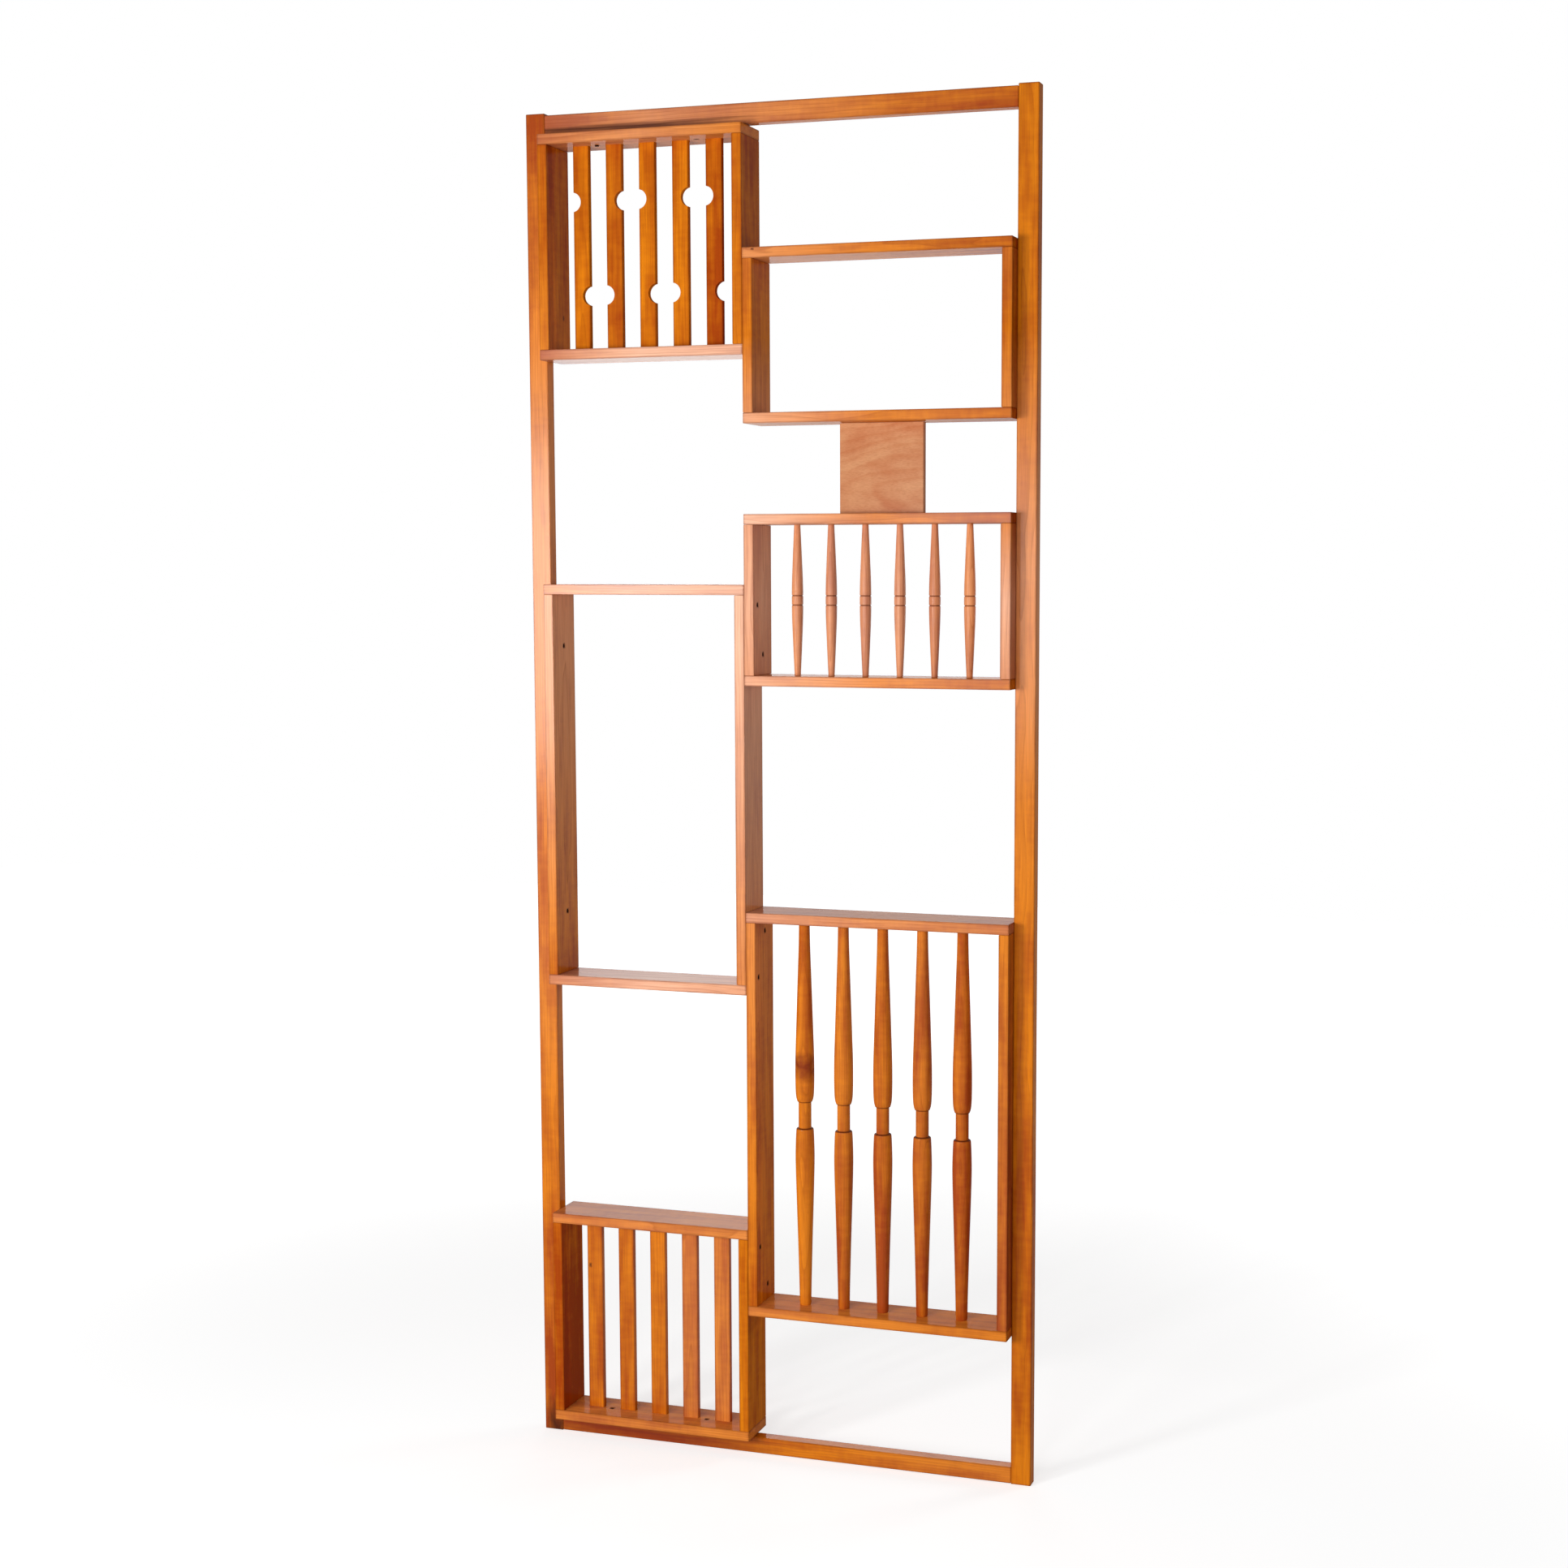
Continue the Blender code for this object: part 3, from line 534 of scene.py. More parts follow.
def with_grain_lines(tree, wood, late, fibre, figure, ring_colour):
    """Wood with its ring lines and its fine streaks laid over it."""
    finish = bpy.context.scene.divider_finish
    lateness = add_node(
        tree, "ShaderNodeMath", {0: late, 1: figure.ring_strength}, operation="MULTIPLY").outputs[0]
    ringed = add_node(
        tree, "ShaderNodeMix", {"Factor": lateness, MIX_A: wood, MIX_B: (*ring_colour, 1)},
        data_type="RGBA").outputs[MIX_RESULT]
    fine = add_node(
        tree, "ShaderNodeMapRange",
        {"Value": fibre, "From Min": figure.fibre_start, "From Max": FIBRE_FULL,
         "To Max": figure.fibre_strength}).outputs[0]
    return add_node(
        tree, "ShaderNodeMix", {"Factor": fine, MIX_A: ringed, MIX_B: (*finish.latewood, 1)},
        data_type="RGBA").outputs[MIX_RESULT]


def rubbed_arrises(tree, wood, fibre, centre, half):
    """Wood a little darker along the arrises of a board, from how near two faces are."""
    finish = bpy.context.scene.divider_finish
    coords = add_node(tree, "ShaderNodeTexCoord").outputs["Object"]
    moved = add_node(
        tree, "ShaderNodeVectorMath", {0: coords, 1: centre}, operation="SUBTRACT").outputs[0]
    away = add_node(tree, "ShaderNodeVectorMath", {0: moved}, operation="ABSOLUTE").outputs[0]
    inward = add_node(
        tree, "ShaderNodeVectorMath", {0: away, 1: half}, operation="SUBTRACT").outputs[0]
    near = add_node(
        tree, "ShaderNodeMapRange",
        {"Vector": inward, "From Min": (-ARRIS_REACH,) * 3, "From Max": (0,) * 3},
        data_type="FLOAT_VECTOR").outputs["Vector"]
    faces = add_node(
        tree, "ShaderNodeVectorMath", {0: near, 1: (1, 1, 1)},
        operation="DOT_PRODUCT").outputs["Value"]
    edge = add_node(
        tree, "ShaderNodeMath", {0: faces, 1: 1.0}, operation="SUBTRACT", use_clamp=True).outputs[0]
    worn = add_node(tree, "ShaderNodeMath", {0: edge, 1: fibre}, operation="MULTIPLY").outputs[0]
    dark = mixed(finish.latewood, (0, 0, 0), ARRIS_DARKENING)
    return add_node(
        tree, "ShaderNodeMix", {"Factor": worn, MIX_A: wood, MIX_B: (*dark, 1)},
        data_type="RGBA").outputs[MIX_RESULT]


def pith_beside(seed):
    """Where the heart of the tree lay beside a board, another place for each seed."""
    angle = seed * PITH_TURN
    distance = PITH_NEAREST + PITH_STEP * (seed % PITH_STEPS)
    return distance * math.cos(angle), distance * math.sin(angle), PITH_SHIFT * seed


def varnished_cherry(name, low, high, along_x, look, seed, square=True, blots=(), groove=None):
    """Planed or turned cherry under a thin amber varnish.

    To the eye: close straight rings with a soft dark edge, finer streaks along the grain, a slow
    drift between honey and russet, arrises rubbed a little darker, and a thin soft gloss. The
    varnish wets the wood, so only its own face reflects.
    """
    finish = bpy.context.scene.divider_finish
    material, tree, shader = new_material(name)
    centre = (low + high) / 2
    half = (high - low) / 2
    pith = pith_beside(seed)
    space = grain_space(tree, centre, along_x, pith)
    late = ring_lines(tree, space, BOARD_FIGURE, finish.ring_width)
    fibre = streaks(
        tree, space, finish.fibre_width, BOARD_FIGURE.fibre_length, FIBRE_DETAIL).outputs["Fac"]
    cloud = streaks(tree, space, *BOARD_FIGURE.cloud).outputs["Fac"]

    reach = half.x if along_x else half.z
    along = add_node(tree, "ShaderNodeSeparateXYZ", {0: space}).outputs["Z"]
    way = add_node(
        tree, "ShaderNodeMapRange",
        {"Value": along, "From Min": pith[2] - reach, "From Max": pith[2] + reach}).outputs[0]
    wood = toned_wood(tree, space, way, cloud, look)
    wood = with_grain_lines(tree, wood, late, fibre, BOARD_FIGURE, finish.latewood)
    if square:
        wood = rubbed_arrises(tree, wood, fibre, centre, half)
    for blot in blots:
        wood = blotted(tree, wood, blot)
    if groove:
        wood = darkened_grooves(tree, wood, centre.z, groove)
    tree.links.new(wood, shader.inputs["Base Color"])
    relief = add_node(tree, "ShaderNodeMath", {0: fibre, 1: late}, operation="ADD").outputs[0]
    varnish(tree, shader, cloud, relief, look.gloss)
    return material


def varnish(tree, shader, cloud, relief, gloss):
    """A thin clear coat over wood whose pores still show.

    The wood under it has no shine of its own, so its roughness tells only in an exported model.
    """
    finish = bpy.context.scene.divider_finish
    uneven = add_node(
        tree, "ShaderNodeMapRange", {"Value": cloud, **NOISE_RANGE, **WET_WOOD_ROUGHNESS}).outputs[0]
    tree.links.new(uneven, shader.inputs["Roughness"])
    pores = add_node(
        tree, "ShaderNodeBump",
        {"Height": relief, "Strength": PORE_STRENGTH, "Distance": PORE_DEPTH}).outputs[0]
    tree.links.new(pores, shader.inputs["Normal"])
    shader.inputs["IOR"].default_value = VARNISH_IOR
    shader.inputs["Specular IOR Level"].default_value = 0.0
    shader.inputs["Coat Weight"].default_value = finish.varnish * gloss
    shader.inputs["Coat Roughness"].default_value = VARNISH_ROUGHNESS
    shader.inputs["Coat IOR"].default_value = VARNISH_IOR


def figured_cherry(name, low, high):
    """Plain-sawn cherry of the square panel under the same varnish.

    To the eye: a greyer tan than the boards, with broad arched bands where the saw ran almost
    along the rings, and fine lines between them.
    """
    finish = bpy.context.scene.divider_finish
    material, tree, shader = new_material(name)
    space = grain_space(tree, (low + high) / 2, True, PANEL_PITH, PANEL_TILT)
    late = ring_lines(tree, space, PANEL_FIGURE, finish.panel_ring_width)
    fibre = streaks(
        tree, space, finish.fibre_width, PANEL_FIGURE.fibre_length, FIBRE_DETAIL).outputs["Fac"]
    cloud = streaks(tree, space, *PANEL_FIGURE.cloud).outputs["Fac"]
    patches = add_node(tree, "ShaderNodeMapRange", {"Value": cloud, **PANEL_PATCHES}).outputs[0]
    redder = mixed(finish.veneer, finish.russet, PANEL_RUSSET)
    wood = add_node(
        tree, "ShaderNodeMix",
        {"Factor": patches, MIX_A: (*finish.veneer, 1), MIX_B: (*redder, 1)},
        data_type="RGBA").outputs[MIX_RESULT]
    wood = with_grain_lines(tree, wood, late, fibre, PANEL_FIGURE, finish.russet)
    tree.links.new(wood, shader.inputs["Base Color"])
    varnish(tree, shader, cloud, fibre, PANEL_GLOSS)
    return material


def blotted(tree, wood, blot):
    """A knot, a stain or a painted shadow: a ragged dark blot, darkest in its middle."""
    coords = add_node(tree, "ShaderNodeTexCoord").outputs["Object"]
    moved = add_node(
        tree, "ShaderNodeVectorMath", {0: coords, 1: blot.place}, operation="SUBTRACT").outputs[0]
    shaped = add_node(
        tree, "ShaderNodeVectorMath", {0: moved, 1: blot.reach}, operation="DIVIDE").outputs[0]
    squarish = add_node(
        tree, "ShaderNodeVectorMath", {0: shaped, 1: shaped}, operation="MULTIPLY").outputs[0]
    distance = add_node(
        tree, "ShaderNodeVectorMath", {0: squarish}, operation="LENGTH").outputs["Value"]
    ragged = add_node(tree, "ShaderNodeTexNoise", {"Vector": shaped, **BLOT_NOISE}).outputs["Fac"]
    uneven = add_node(
        tree, "ShaderNodeMath", {0: ragged, 1: BLOT_RAGGEDNESS, 2: distance},
        operation="MULTIPLY_ADD").outputs[0]
    depth = add_node(tree, "ShaderNodeMapRange", {"Value": uneven, **BLOT_FADE}).outputs[0]
    return add_node(
        tree, "ShaderNodeMix", {"Factor": depth, MIX_A: wood, MIX_B: (*linear(blot.colour), 1)},
        data_type="RGBA").outputs[MIX_RESULT]


def knots_and_shadows(node):
    """The knots and painted shadows of a piece, as blots."""
    if node not in KNOTS_AND_SHADOWS:
        return []
    low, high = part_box(node)
    spot = KNOTS_AND_SHADOWS[node]
    place = [a + (b - a) * share for a, b, share in zip(low, high, spot.shares)]
    return [Blot(place, [millimetres * MM for millimetres in spot.reach], spot.colour)]


def darkened_grooves(tree, wood, middle, groove):
    """A dark band at a given height from the middle: varnish collected in the turned grooves, and
    painted shade in the step at a tall spindle's shoulder.
    """
    offset, half_width = groove
    coords = add_node(tree, "ShaderNodeTexCoord").outputs["Object"]
    height = add_node(tree, "ShaderNodeSeparateXYZ", {0: coords}).outputs["Z"]
    centred = add_node(
        tree, "ShaderNodeMath", {0: height, 1: middle}, operation="SUBTRACT").outputs[0]
    mirrored = add_node(tree, "ShaderNodeMath", {0: centred}, operation="ABSOLUTE").outputs[0]
    away = add_node(
        tree, "ShaderNodeMath", {0: mirrored, 1: offset}, operation="SUBTRACT").outputs[0]
    near = add_node(tree, "ShaderNodeMath", {0: away}, operation="ABSOLUTE").outputs[0]
    band_darkness = add_node(
        tree, "ShaderNodeMapRange",
        {"Value": near, "From Min": 0.0, "From Max": half_width,
         "To Min": POOLED_AND_SHADE_STRENGTH, "To Max": 0.0}).outputs[0]
    return add_node(
        tree, "ShaderNodeMix",
        {"Factor": band_darkness, MIX_A: wood, MIX_B: (*linear(POOLED_VARNISH_AND_SHADE), 1)},
        data_type="RGBA").outputs[MIX_RESULT]


def browned_steel(name):
    """Old steel under a brown oxide skin.

    To the eye: dark brown, matt and a little patchy. The patches are drawn coarser than real
    ones, so that they show on a small head.
    """
    finish = bpy.context.scene.divider_finish
    material, tree, shader = new_material(name)
    coords = add_node(tree, "ShaderNodeTexCoord").outputs["Object"]
    patches = add_node(
        tree, "ShaderNodeTexNoise",
        {"Vector": coords, "Scale": 1 / OXIDE_PATCH, "Detail": 2.0}).outputs["Fac"]
    dark = mixed(finish.steel, (0, 0, 0), OXIDE_DARKENING)
    tone = add_node(
        tree, "ShaderNodeMix",
        {"Factor": patches, MIX_A: (*finish.steel, 1), MIX_B: (*dark, 1)},
        data_type="RGBA").outputs[MIX_RESULT]
    tree.links.new(tone, shader.inputs["Base Color"])
    dull = add_node(tree, "ShaderNodeMapRange", {"Value": patches, **OXIDE_ROUGHNESS}).outputs[0]
    tree.links.new(dull, shader.inputs["Roughness"])
    shader.inputs["Specular IOR Level"].default_value = 0.0
    return material


def white_paper(name):
    """Matt white paper of a studio floor: no grain and no shine.

    What the camera and reflections see is lifted to white and still keeps the shadow.
    """
    material, tree, shader = new_material(name)
    shader.inputs["Base Color"].default_value = (*linear(PAPER_GREY), 1)
    shader.inputs["Roughness"].default_value = PAPER_ROUGHNESS
    shader.inputs["Specular IOR Level"].default_value = 0.0
    coords = add_node(tree, "ShaderNodeTexCoord").outputs["Object"]
    away = add_node(
        tree, "ShaderNodeVectorMath", {0: coords}, operation="LENGTH").outputs["Value"]
    lift = add_node(
        tree, "ShaderNodeMapRange", {"Value": away, **PAPER_LIFT},
        interpolation_type="SMOOTHSTEP").outputs[0]
    strength = add_node(
        tree, "ShaderNodeMath", {0: lift, 1: seen_directly(tree)}, operation="MULTIPLY").outputs[0]
    shader.inputs["Emission Color"].default_value = (1, 1, 1, 1)
    tree.links.new(strength, shader.inputs["Emission Strength"])
    return material


def seen_directly(tree):
    """One for what the camera, a reflection or a clear body sees, nought for light on a surface."""
    rays = add_node(tree, "ShaderNodeLightPath").outputs
    either = add_node(
        tree, "ShaderNodeMath", {0: rays["Is Camera Ray"], 1: rays["Is Glossy Ray"]},
        operation="MAXIMUM").outputs[0]
    return add_node(
        tree, "ShaderNodeMath", {0: either, 1: rays["Is Transmission Ray"]},
        operation="MAXIMUM").outputs[0]


# Meshes


def finished_object(name, bm, material):
    """Merge and clean a bmesh, link it at the origin and let it ride on the divider."""
    bmesh.ops.remove_doubles(bm, verts=bm.verts, dist=SAME_POINT)
    bmesh.ops.recalc_face_normals(bm, faces=bm.faces)
    mesh = bpy.data.meshes.new(name)
    bm.to_mesh(mesh)
    bm.free()
    mesh.shade_smooth()
    mesh.set_sharp_from_angle(angle=SMOOTH_ANGLE)
    mesh.materials.append(material)
    obj = bpy.data.objects.new(name, mesh)
    bpy.context.scene.collection.objects.link(obj)
    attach(obj, BODY)
    return obj


def spun(bm, outline, sides):
    """Turn (radius, height) points, given from the top down, into a closed solid round Z."""
    points = [bm.verts.new((radius, 0, height)) for radius, height in outline]
    edges = [bm.edges.new(pair) for pair in zip(points[:-1], points[1:])]
    bmesh.ops.spin(
        bm, geom=points + edges, cent=(0, 0, 0), axis=(0, 0, 1), angle=math.tau, steps=sides,
        use_merge=True)


def flowing(points, steps):
    """A smooth curve through outline points, with a few rings between each two of them."""
    ends = [points[0]] + list(points) + [points[-1]]
    curve = []
    for before, start, stop, after in zip(ends, ends[1:], ends[2:], ends[3:]):
        for step in range(steps):
            t = step / steps
            curve.append(tuple(
                b + 0.5 * t * (c - a + t * (2 * a - 5 * b + 4 * c - d + t * (3 * (b - c) + d - a)))
                for a, b, c, d in zip(before, start, stop, after)))
    curve.append(points[-1])
    return curve


def taper(shares, end_radius, belly_radius, half):
    """Outline points of half a spindle, from its end to its belly."""
    swell = belly_radius - end_radius
    return [(end_radius + share * swell, half * (1 - way)) for way, share in shares]


def short_outline(half, belly):
    """Both halves alike: a taper, then a groove beside the middle band."""
    turning = bpy.context.scene.divider_turning
    end = turning.short_end / 2
    groove = turning.band_half
    width = turning.groove_half
    bottom = belly - turning.groove_depth
    depth_share, width_share = GROOVE_BOTTOM
    side = belly - depth_share * turning.groove_depth
    reach = half + turning.housing
    swell = taper(SHORT_TAPER_SHARES, end, belly, half) + [(belly, groove + width)]
    upper = [(0, reach), (end, reach)] + flowing(swell, turning.steps) + [
        (side, groove + width_share * width),
        (bottom, groove),
        (side, groove - width_share * width),
        (belly, groove - width)]
    return upper + [(radius, -height) for radius, height in reversed(upper)]


def tall_outline(half, belly):
    """The upper swell rounds in to the neck, and a shoulder starts the lower one."""
    turning = bpy.context.scene.divider_turning
    end = turning.tall_end / 2
    reach = half + turning.housing
    tip = [(0, reach), (end, reach)]
    neck = [(turning.tall_neck / 2, half * (1 - TALL_NECK_SHARE))]
    upper = tip + flowing(taper(TALL_UPPER_SHARES, end, belly, half), turning.steps) + neck
    lower = tip + flowing(taper(TALL_LOWER_SHARES, end, belly, half), turning.steps) + neck
    return upper + [(radius, -height) for radius, height in reversed(lower)]


def turned_spindle(node, outline_of, look, seed, **options):
    """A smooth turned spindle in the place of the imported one."""
    turning = bpy.context.scene.divider_turning
    low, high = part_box(node)
    belly = (high.y - low.y) / 2
    half = (high.z - low.z) / 2 - turning.housing
    bm = bmesh.new()
    spun(bm, outline_of(half, belly), turning.sides)
    bmesh.ops.translate(bm, verts=bm.verts, vec=(low + high) / 2)
    material = varnished_cherry(
        node + "_cherry", low, high, False, look, seed, square=False, **options)
    piece = finished_object(node + "_turned", bm, material)
    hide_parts(node)


def dress(node, material):
    """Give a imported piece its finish."""
    mesh = nodes[node].data
    mesh.materials.clear()
    mesh.materials.append(material)


def dress_board(node, along_x, look, seed, stains=()):
    """Varnish a packed board, with its knots, its painted shadows and the iron stains round its
    screws.
    """
    low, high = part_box(node)
    reach = (IRON_STAIN_REACH,) * 3
    blots = knots_and_shadows(node) + [Blot(place, reach, IRON_BLACK) for place in stains]
    dress(node, varnished_cherry(node + "_cherry", low, high, along_x, look, seed, blots=blots))


def screw_bmesh():
    """A slotted countersunk screw that points down, its head just under Z = 0."""
    sizes = bpy.context.scene.divider_screws
    head = sizes.head / 2
    shank = sizes.shank / 2
    top = -sizes.sink
    end = top - sizes.length
    outline = [
        (0, top), (head - SCREW_RIM, top), (head, top - SCREW_RIM),
        (shank, top - sizes.head_height), (shank, end + sizes.tip), (0, end)]
    bm = bmesh.new()
    spun(bm, outline, SCREW_SIDES)
    bmesh.ops.remove_doubles(bm, verts=bm.verts, dist=SAME_POINT)
    bmesh.ops.recalc_face_normals(bm, faces=bm.faces)
    cutter = bmesh.new()
    bmesh.ops.create_cube(cutter, size=1)
    across = 2 * sizes.head
    bmesh.ops.scale(cutter, verts=cutter.verts, vec=(across, sizes.slot, 2 * sizes.slot))
    bmesh.ops.translate(cutter, verts=cutter.verts, vec=(0, 0, top))
    return cut_by(bm, cutter)


def cut_by(bm, cutter):
    """The first solid less the second one, as a new bmesh."""
    made = []
    for name, source in (("solid", bm), ("cutter", cutter)):
        mesh = bpy.data.meshes.new(name)
        source.to_mesh(mesh)
        source.free()
        obj = bpy.data.objects.new(name, mesh)
        bpy.context.scene.collection.objects.link(obj)
        made.append(obj)
    solid, tool = made
    modifier = solid.modifiers.new("cut", "BOOLEAN")
    modifier.operation = "DIFFERENCE"
    modifier.object = tool
    depsgraph = bpy.context.evaluated_depsgraph_get()
    result = bmesh.new()
    result.from_object(solid, depsgraph)
    for obj in made:
        bpy.data.objects.remove(obj, do_unlink=True)
    return result


POINTING = {
    "up": Matrix.Rotation(math.pi, 4, "X"),
    "down": Matrix.Identity(4),
    "left": Matrix.Rotation(math.pi / 2, 4, "Y"),
    "right": Matrix.Rotation(-math.pi / 2, 4, "Y"),
}


def set_screw(seat, material, turn):
    """One screw with its head at a point of a board's face, its slot left at a given turn."""
    bm = screw_bmesh()
    place = Matrix.Translation(seat.point) @ POINTING[seat.way] @ Matrix.Rotation(turn, 4, "Z")
    bmesh.ops.transform(bm, matrix=place, verts=bm.verts)
    piece = finished_object(seat.screw, bm, material)
    if seat.packed:
        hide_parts(seat.packed)


def screw_seats():
    """Every screw with the board that its head lies in. The first ones replace packed screws."""
    packed = (
        ("top_rail_screw", "notched_slat_box_top", "up"),
        ("bottom_rail_screw", "plain_slat_box_bottom", "down"),
        ("left_stile_screw", "tall_open_box_left", "left"),
        ("short_spindle_box_screw", "short_spindle_box_left", "left"),
        ("tall_spindle_box_screw", "tall_spindle_box_left", "left"),
    )
    lower_joint = back_to_back_points(
        "plain_slat_box", "tall_spindle_box", LOWER_TALL_JOINT_SHARES, False)
    upper_joint = back_to_back_points(
        "notched_slat_box", "small_open_box", NOTCHED_JOINT_SHARES, True)
    added = [
        ("plain_slat_box_screw", "tall_spindle_box_left", "left", lower_joint),
        ("notched_slat_box_screw", "notched_slat_box_right", "right", upper_joint),
    ]
    for box in ("small_open_box", "short_spindle_box", "tall_spindle_box"):
        added.append((box + "_stile_screw", box + "_right", "right", stile_points(box)))
    seats = []
    for kind, board, way in packed:
        for number in (1, 2):
            node = f"{kind}_{number}"
            seats.append(Seat(node + "_slotted", board, head_of(node, way), way, node))
    for kind, board, way, points in added:
        for number, point in enumerate(points):
            seats.append(Seat(f"{kind}_{number + 1}", board, point, way, None))
    return seats


def head_of(node, way):
    """Where the wood's face crosses the axis of a packed screw, or lower for a proud head."""
    sink = bpy.context.scene.divider_screws.sink
    low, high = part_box(node)
    middle = (low + high) / 2
    if way == "up":
        return Vector((middle.x, middle.y, low.z - sink - PROUD_HEADS.get(node, 0)))
    if way == "down":
        return Vector((middle.x, middle.y, high.z + sink))
    return Vector((high.x + sink, middle.y, middle.z))


def back_to_back_points(left_box, right_box, shares, from_left):
    """Screw places where a left box's right wall stands against a right box's left wall."""
    left_low, left_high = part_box(left_box + "_right")
    right_low, right_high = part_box(right_box + "_left")
    low = max(left_low.z, right_low.z) + TONGUE_LENGTH + SCREW_EDGE
    high = min(left_high.z, right_high.z) - TONGUE_LENGTH - SCREW_EDGE
    x = left_low.x if from_left else right_high.x
    depth = left_high.y - left_low.y
    return [Vector((x, across * depth, low + share * (high - low))) for share, across in shares]


def stile_points(box):
    """Screw places on the inner face of a box's right wall, into the right stile."""
    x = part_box(box + "_right")[0].x
    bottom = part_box(box + "_bottom")[0].z
    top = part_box(box + "_top")[1].z
    return [Vector((x, 0, bottom + share * (top - bottom))) for share in STILE_SCREW_SHARES]


# Operators


class DIVIDER_OT_frame(bpy.types.Operator):
    """Varnish the stiles and rails of the outer frame"""
    bl_idname = "divider.frame"
    bl_label = "Frame"

    def execute(self, context):
        for seed, node in enumerate(STILES + RAILS, FIRST_SEEDS["frame"]):
            dress_board(node, node in RAILS, FRAME_FINISHES[node], seed)
        return {"FINISHED"}


class DIVIDER_OT_boxes(bpy.types.Operator):
    """Varnish the four boards of each box"""
    bl_idname = "divider.boxes"
    bl_label = "Boxes"

    def execute(self, context):
        stains = {}
        for seat in screw_seats():
            stains.setdefault(seat.board, []).append(seat.point)
        seed = FIRST_SEEDS["box"]
        for box, sides in BOX_FINISHES.items():
            for side, look in sides.items():
                board = f"{box}_{side}"
                dress_board(board, side in ("top", "bottom"), look, seed, stains.get(board, ()))
                seed += 1
        return {"FINISHED"}


class DIVIDER_OT_slats(bpy.types.Operator):
    """Varnish the notched and the plain slats"""
    bl_idname = "divider.slats"
    bl_label = "Slats"

    def execute(self, context):
        kinds = (("notched_slat", NOTCHED_SLAT_FINISHES), ("plain_slat", PLAIN_SLAT_FINISHES))
        for kind, finishes in kinds:
            for index, look in enumerate(finishes):
                dress_board(f"{kind}_{index + 1}", False, look, FIRST_SEEDS[kind] + index)
        return {"FINISHED"}


class DIVIDER_OT_short_spindles(bpy.types.Operator):
    """Turn the short spindles with their grooved middles"""
    bl_idname = "divider.short_spindles"
    bl_label = "Short Spindles"

    def execute(self, context):
        turning = context.scene.divider_turning
        groove = (turning.band_half, turning.groove_half)
        for index, look in enumerate(SHORT_SPINDLE_FINISHES):
            node = f"short_spindle_{index + 1}"
            seed = FIRST_SEEDS["short_spindle"] + index
            turned_spindle(node, short_outline, look, seed, groove=groove)
        return {"FINISHED"}


class DIVIDER_OT_tall_spindles(bpy.types.Operator):
    """Turn the tall spindles with their necks"""
    bl_idname = "divider.tall_spindles"
    bl_label = "Tall Spindles"

    def execute(self, context):
        turning = context.scene.divider_turning
        for index, look in enumerate(TALL_SPINDLE_FINISHES):
            node = f"tall_spindle_{index + 1}"
            low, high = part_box(node)
            # Painted shade in the steps at both ends of the neck, laid on like a groove
            shoulder = (high.z - low.z) / 2 * (1 - TALL_NECK_SHARE)
            groove = (shoulder, SHOULDER_SHADOW * turning.groove_half)
            seed = FIRST_SEEDS["tall_spindle"] + index
            turned_spindle(node, tall_outline, look, seed, blots=knots_and_shadows(node), groove=groove)
        return {"FINISHED"}


class DIVIDER_OT_panel(bpy.types.Operator):
    """Varnish the figured square panel"""
    bl_idname = "divider.panel"
    bl_label = "Panel"

    def execute(self, context):
        dress("panel", figured_cherry("panel_cherry", *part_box("panel")))
        return {"FINISHED"}


class DIVIDER_OT_screws(bpy.types.Operator):
    """Set the slotted screws in their countersunk holes"""
    bl_idname = "divider.screws"
    bl_label = "Screws"

    def execute(self, context):
        steel = browned_steel("browned_steel")
        for count, seat in enumerate(screw_seats(), 1):
            set_screw(seat, steel, SLOT_TURN * count)
        return {"FINISHED"}


class DIVIDER_OT_stage(bpy.types.Operator):
    """Lay the pale floor, light the room and place the camera"""
    bl_idname = "divider.stage"
    bl_label = "Stage"

    def execute(self, context):
        stage = context.scene.divider_stage
        lay_floor(stage)
        light_room(stage)
        place_camera(stage)
        context.scene.view_settings.view_transform = "Standard"
        return {"FINISHED"}


def lay_floor(stage):
    """A plain pale floor under the divider."""
    bm = bmesh.new()
    bmesh.ops.create_grid(bm, x_segments=2, y_segments=2, size=stage.floor_size / 2)
    mesh = bpy.data.meshes.new("studio_floor")
    bm.to_mesh(mesh)
    bm.free()
    mesh.materials.append(white_paper("white_paper"))
    floor = bpy.data.objects.new("studio_floor", mesh)
    bpy.context.scene.collection.objects.link(floor)


def light_room(stage):
    """Even light from all sides that looks white in the background, and the soft lamps."""
    world = bpy.data.worlds.new("pale_room")
    bpy.context.scene.world = world
    world.use_nodes = True
    tree = world.node_tree
    tree.nodes.clear()
    ambient = add_node(
        tree, "ShaderNodeBackground", {"Color": (1, 1, 1, 1), "Strength": stage.room_light})
    white = add_node(tree, "ShaderNodeBackground", {"Color": (1, 1, 1, 1), "Strength": 1.0})
    mix = add_node(
        tree, "ShaderNodeMixShader",
        {0: seen_directly(tree), 1: ambient.outputs[0], 2: white.outputs[0]})
    add_node(tree, "ShaderNodeOutputWorld", {0: mix.outputs[0]})
    for lamp in LAMPS:
        hang_lamp(lamp, getattr(stage, lamp.power))


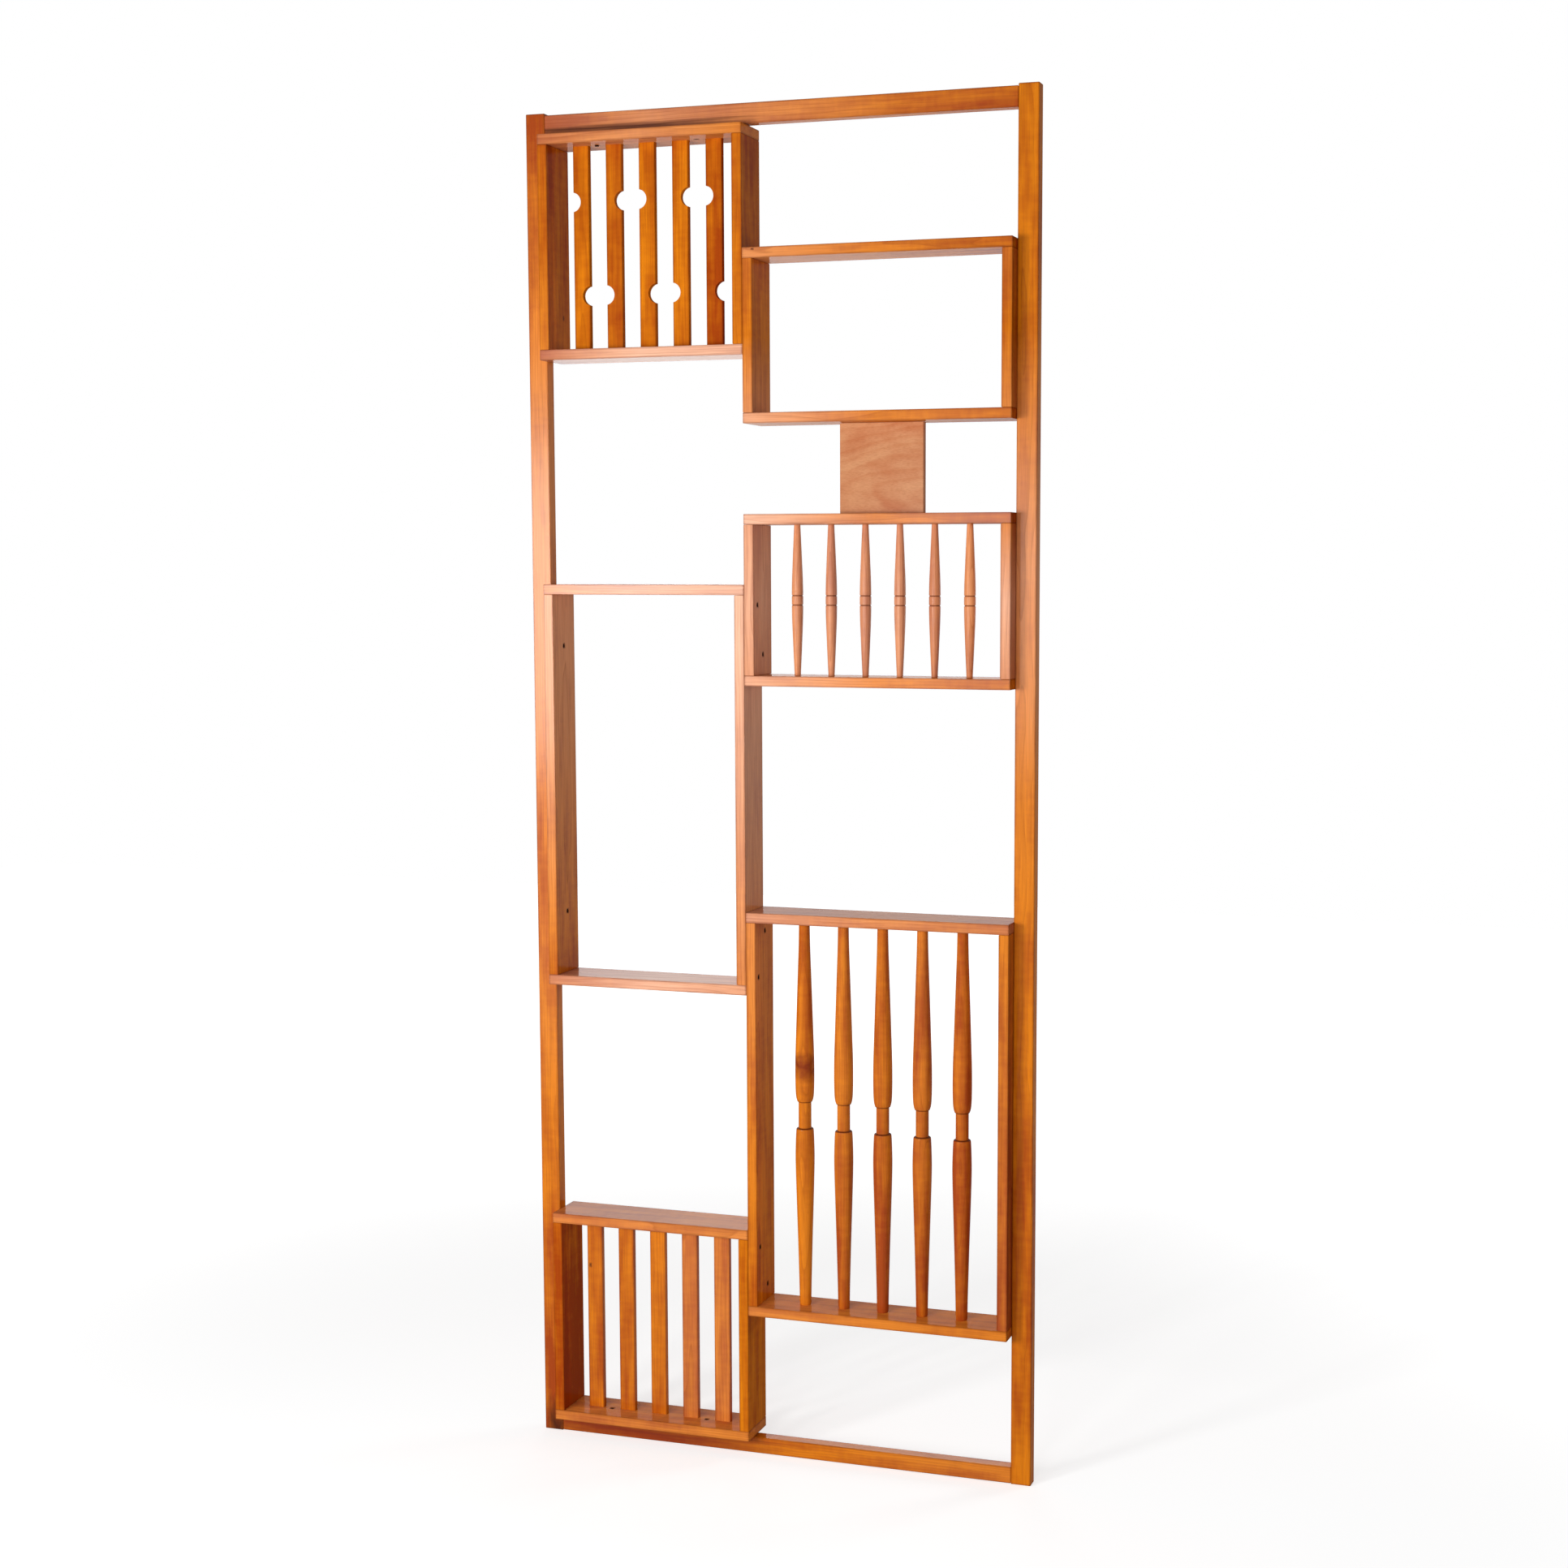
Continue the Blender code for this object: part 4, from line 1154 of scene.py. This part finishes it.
def hang_lamp(lamp, power):
    """A soft rectangular light that faces the middle of the divider."""
    light = bpy.data.lights.new(lamp.name, "AREA")
    light.shape = "RECTANGLE"
    light.size = lamp.width
    light.size_y = lamp.height
    light.energy = power
    obj = bpy.data.objects.new(lamp.name, light)
    bpy.context.scene.collection.objects.link(obj)
    obj.location = lamp.place
    aim = Vector(LAMPS_AIM) - obj.location
    obj.rotation_euler = aim.to_track_quat("-Z", "Y").to_euler()


def place_camera(stage):
    """The camera at the photograph's place and angle."""
    data = bpy.data.cameras.new("camera")
    data.sensor_fit = "HORIZONTAL"
    data.sensor_width = SENSOR_WIDTH
    data.lens = stage.lens
    data.shift_x = SHIFT_RIGHT
    data.shift_y = SHIFT_UP
    camera = bpy.data.objects.new("camera", data)
    bpy.context.scene.collection.objects.link(camera)
    camera.location = (stage.camera_x, -stage.camera_distance, stage.eye_height)
    camera.rotation_euler = (math.pi / 2 - stage.look_down, 0, stage.look_left)
    bpy.context.scene.camera = camera


class DIVIDER_PT_panel(bpy.types.Panel):
    bl_idname = "DIVIDER_PT_panel"
    bl_label = "Room Divider"
    bl_space_type = "VIEW_3D"
    bl_region_type = "UI"
    bl_category = "Divider"

    def draw(self, context):
        layout = self.layout
        for name in SETTINGS:
            settings = getattr(context.scene, name)
            for key in settings.__annotations__:
                layout.prop(settings, key)
        for operator in OPERATORS:
            layout.operator(operator.bl_idname)


SETTINGS = {
    "divider_finish": DividerFinish,
    "divider_turning": DividerTurning,
    "divider_screws": DividerScrews,
    "divider_stage": DividerStage,
}
OPERATORS = (
    DIVIDER_OT_frame,
    DIVIDER_OT_boxes,
    DIVIDER_OT_slats,
    DIVIDER_OT_short_spindles,
    DIVIDER_OT_tall_spindles,
    DIVIDER_OT_panel,
    DIVIDER_OT_screws,
    DIVIDER_OT_stage,
)
CLASSES = (*SETTINGS.values(), *OPERATORS, DIVIDER_PT_panel)


def register():
    for cls in CLASSES:
        bpy.utils.register_class(cls)
    for name, cls in SETTINGS.items():
        setattr(bpy.types.Scene, name, PointerProperty(type=cls))


def unregister():
    for name in SETTINGS:
        delattr(bpy.types.Scene, name)
    for cls in reversed(CLASSES):
        bpy.utils.unregister_class(cls)


def main():
    register()
    for operator in OPERATORS:
        group, name = operator.bl_idname.split(".")
        getattr(getattr(bpy.ops, group), name)()


if __name__ == "__main__":
    main()
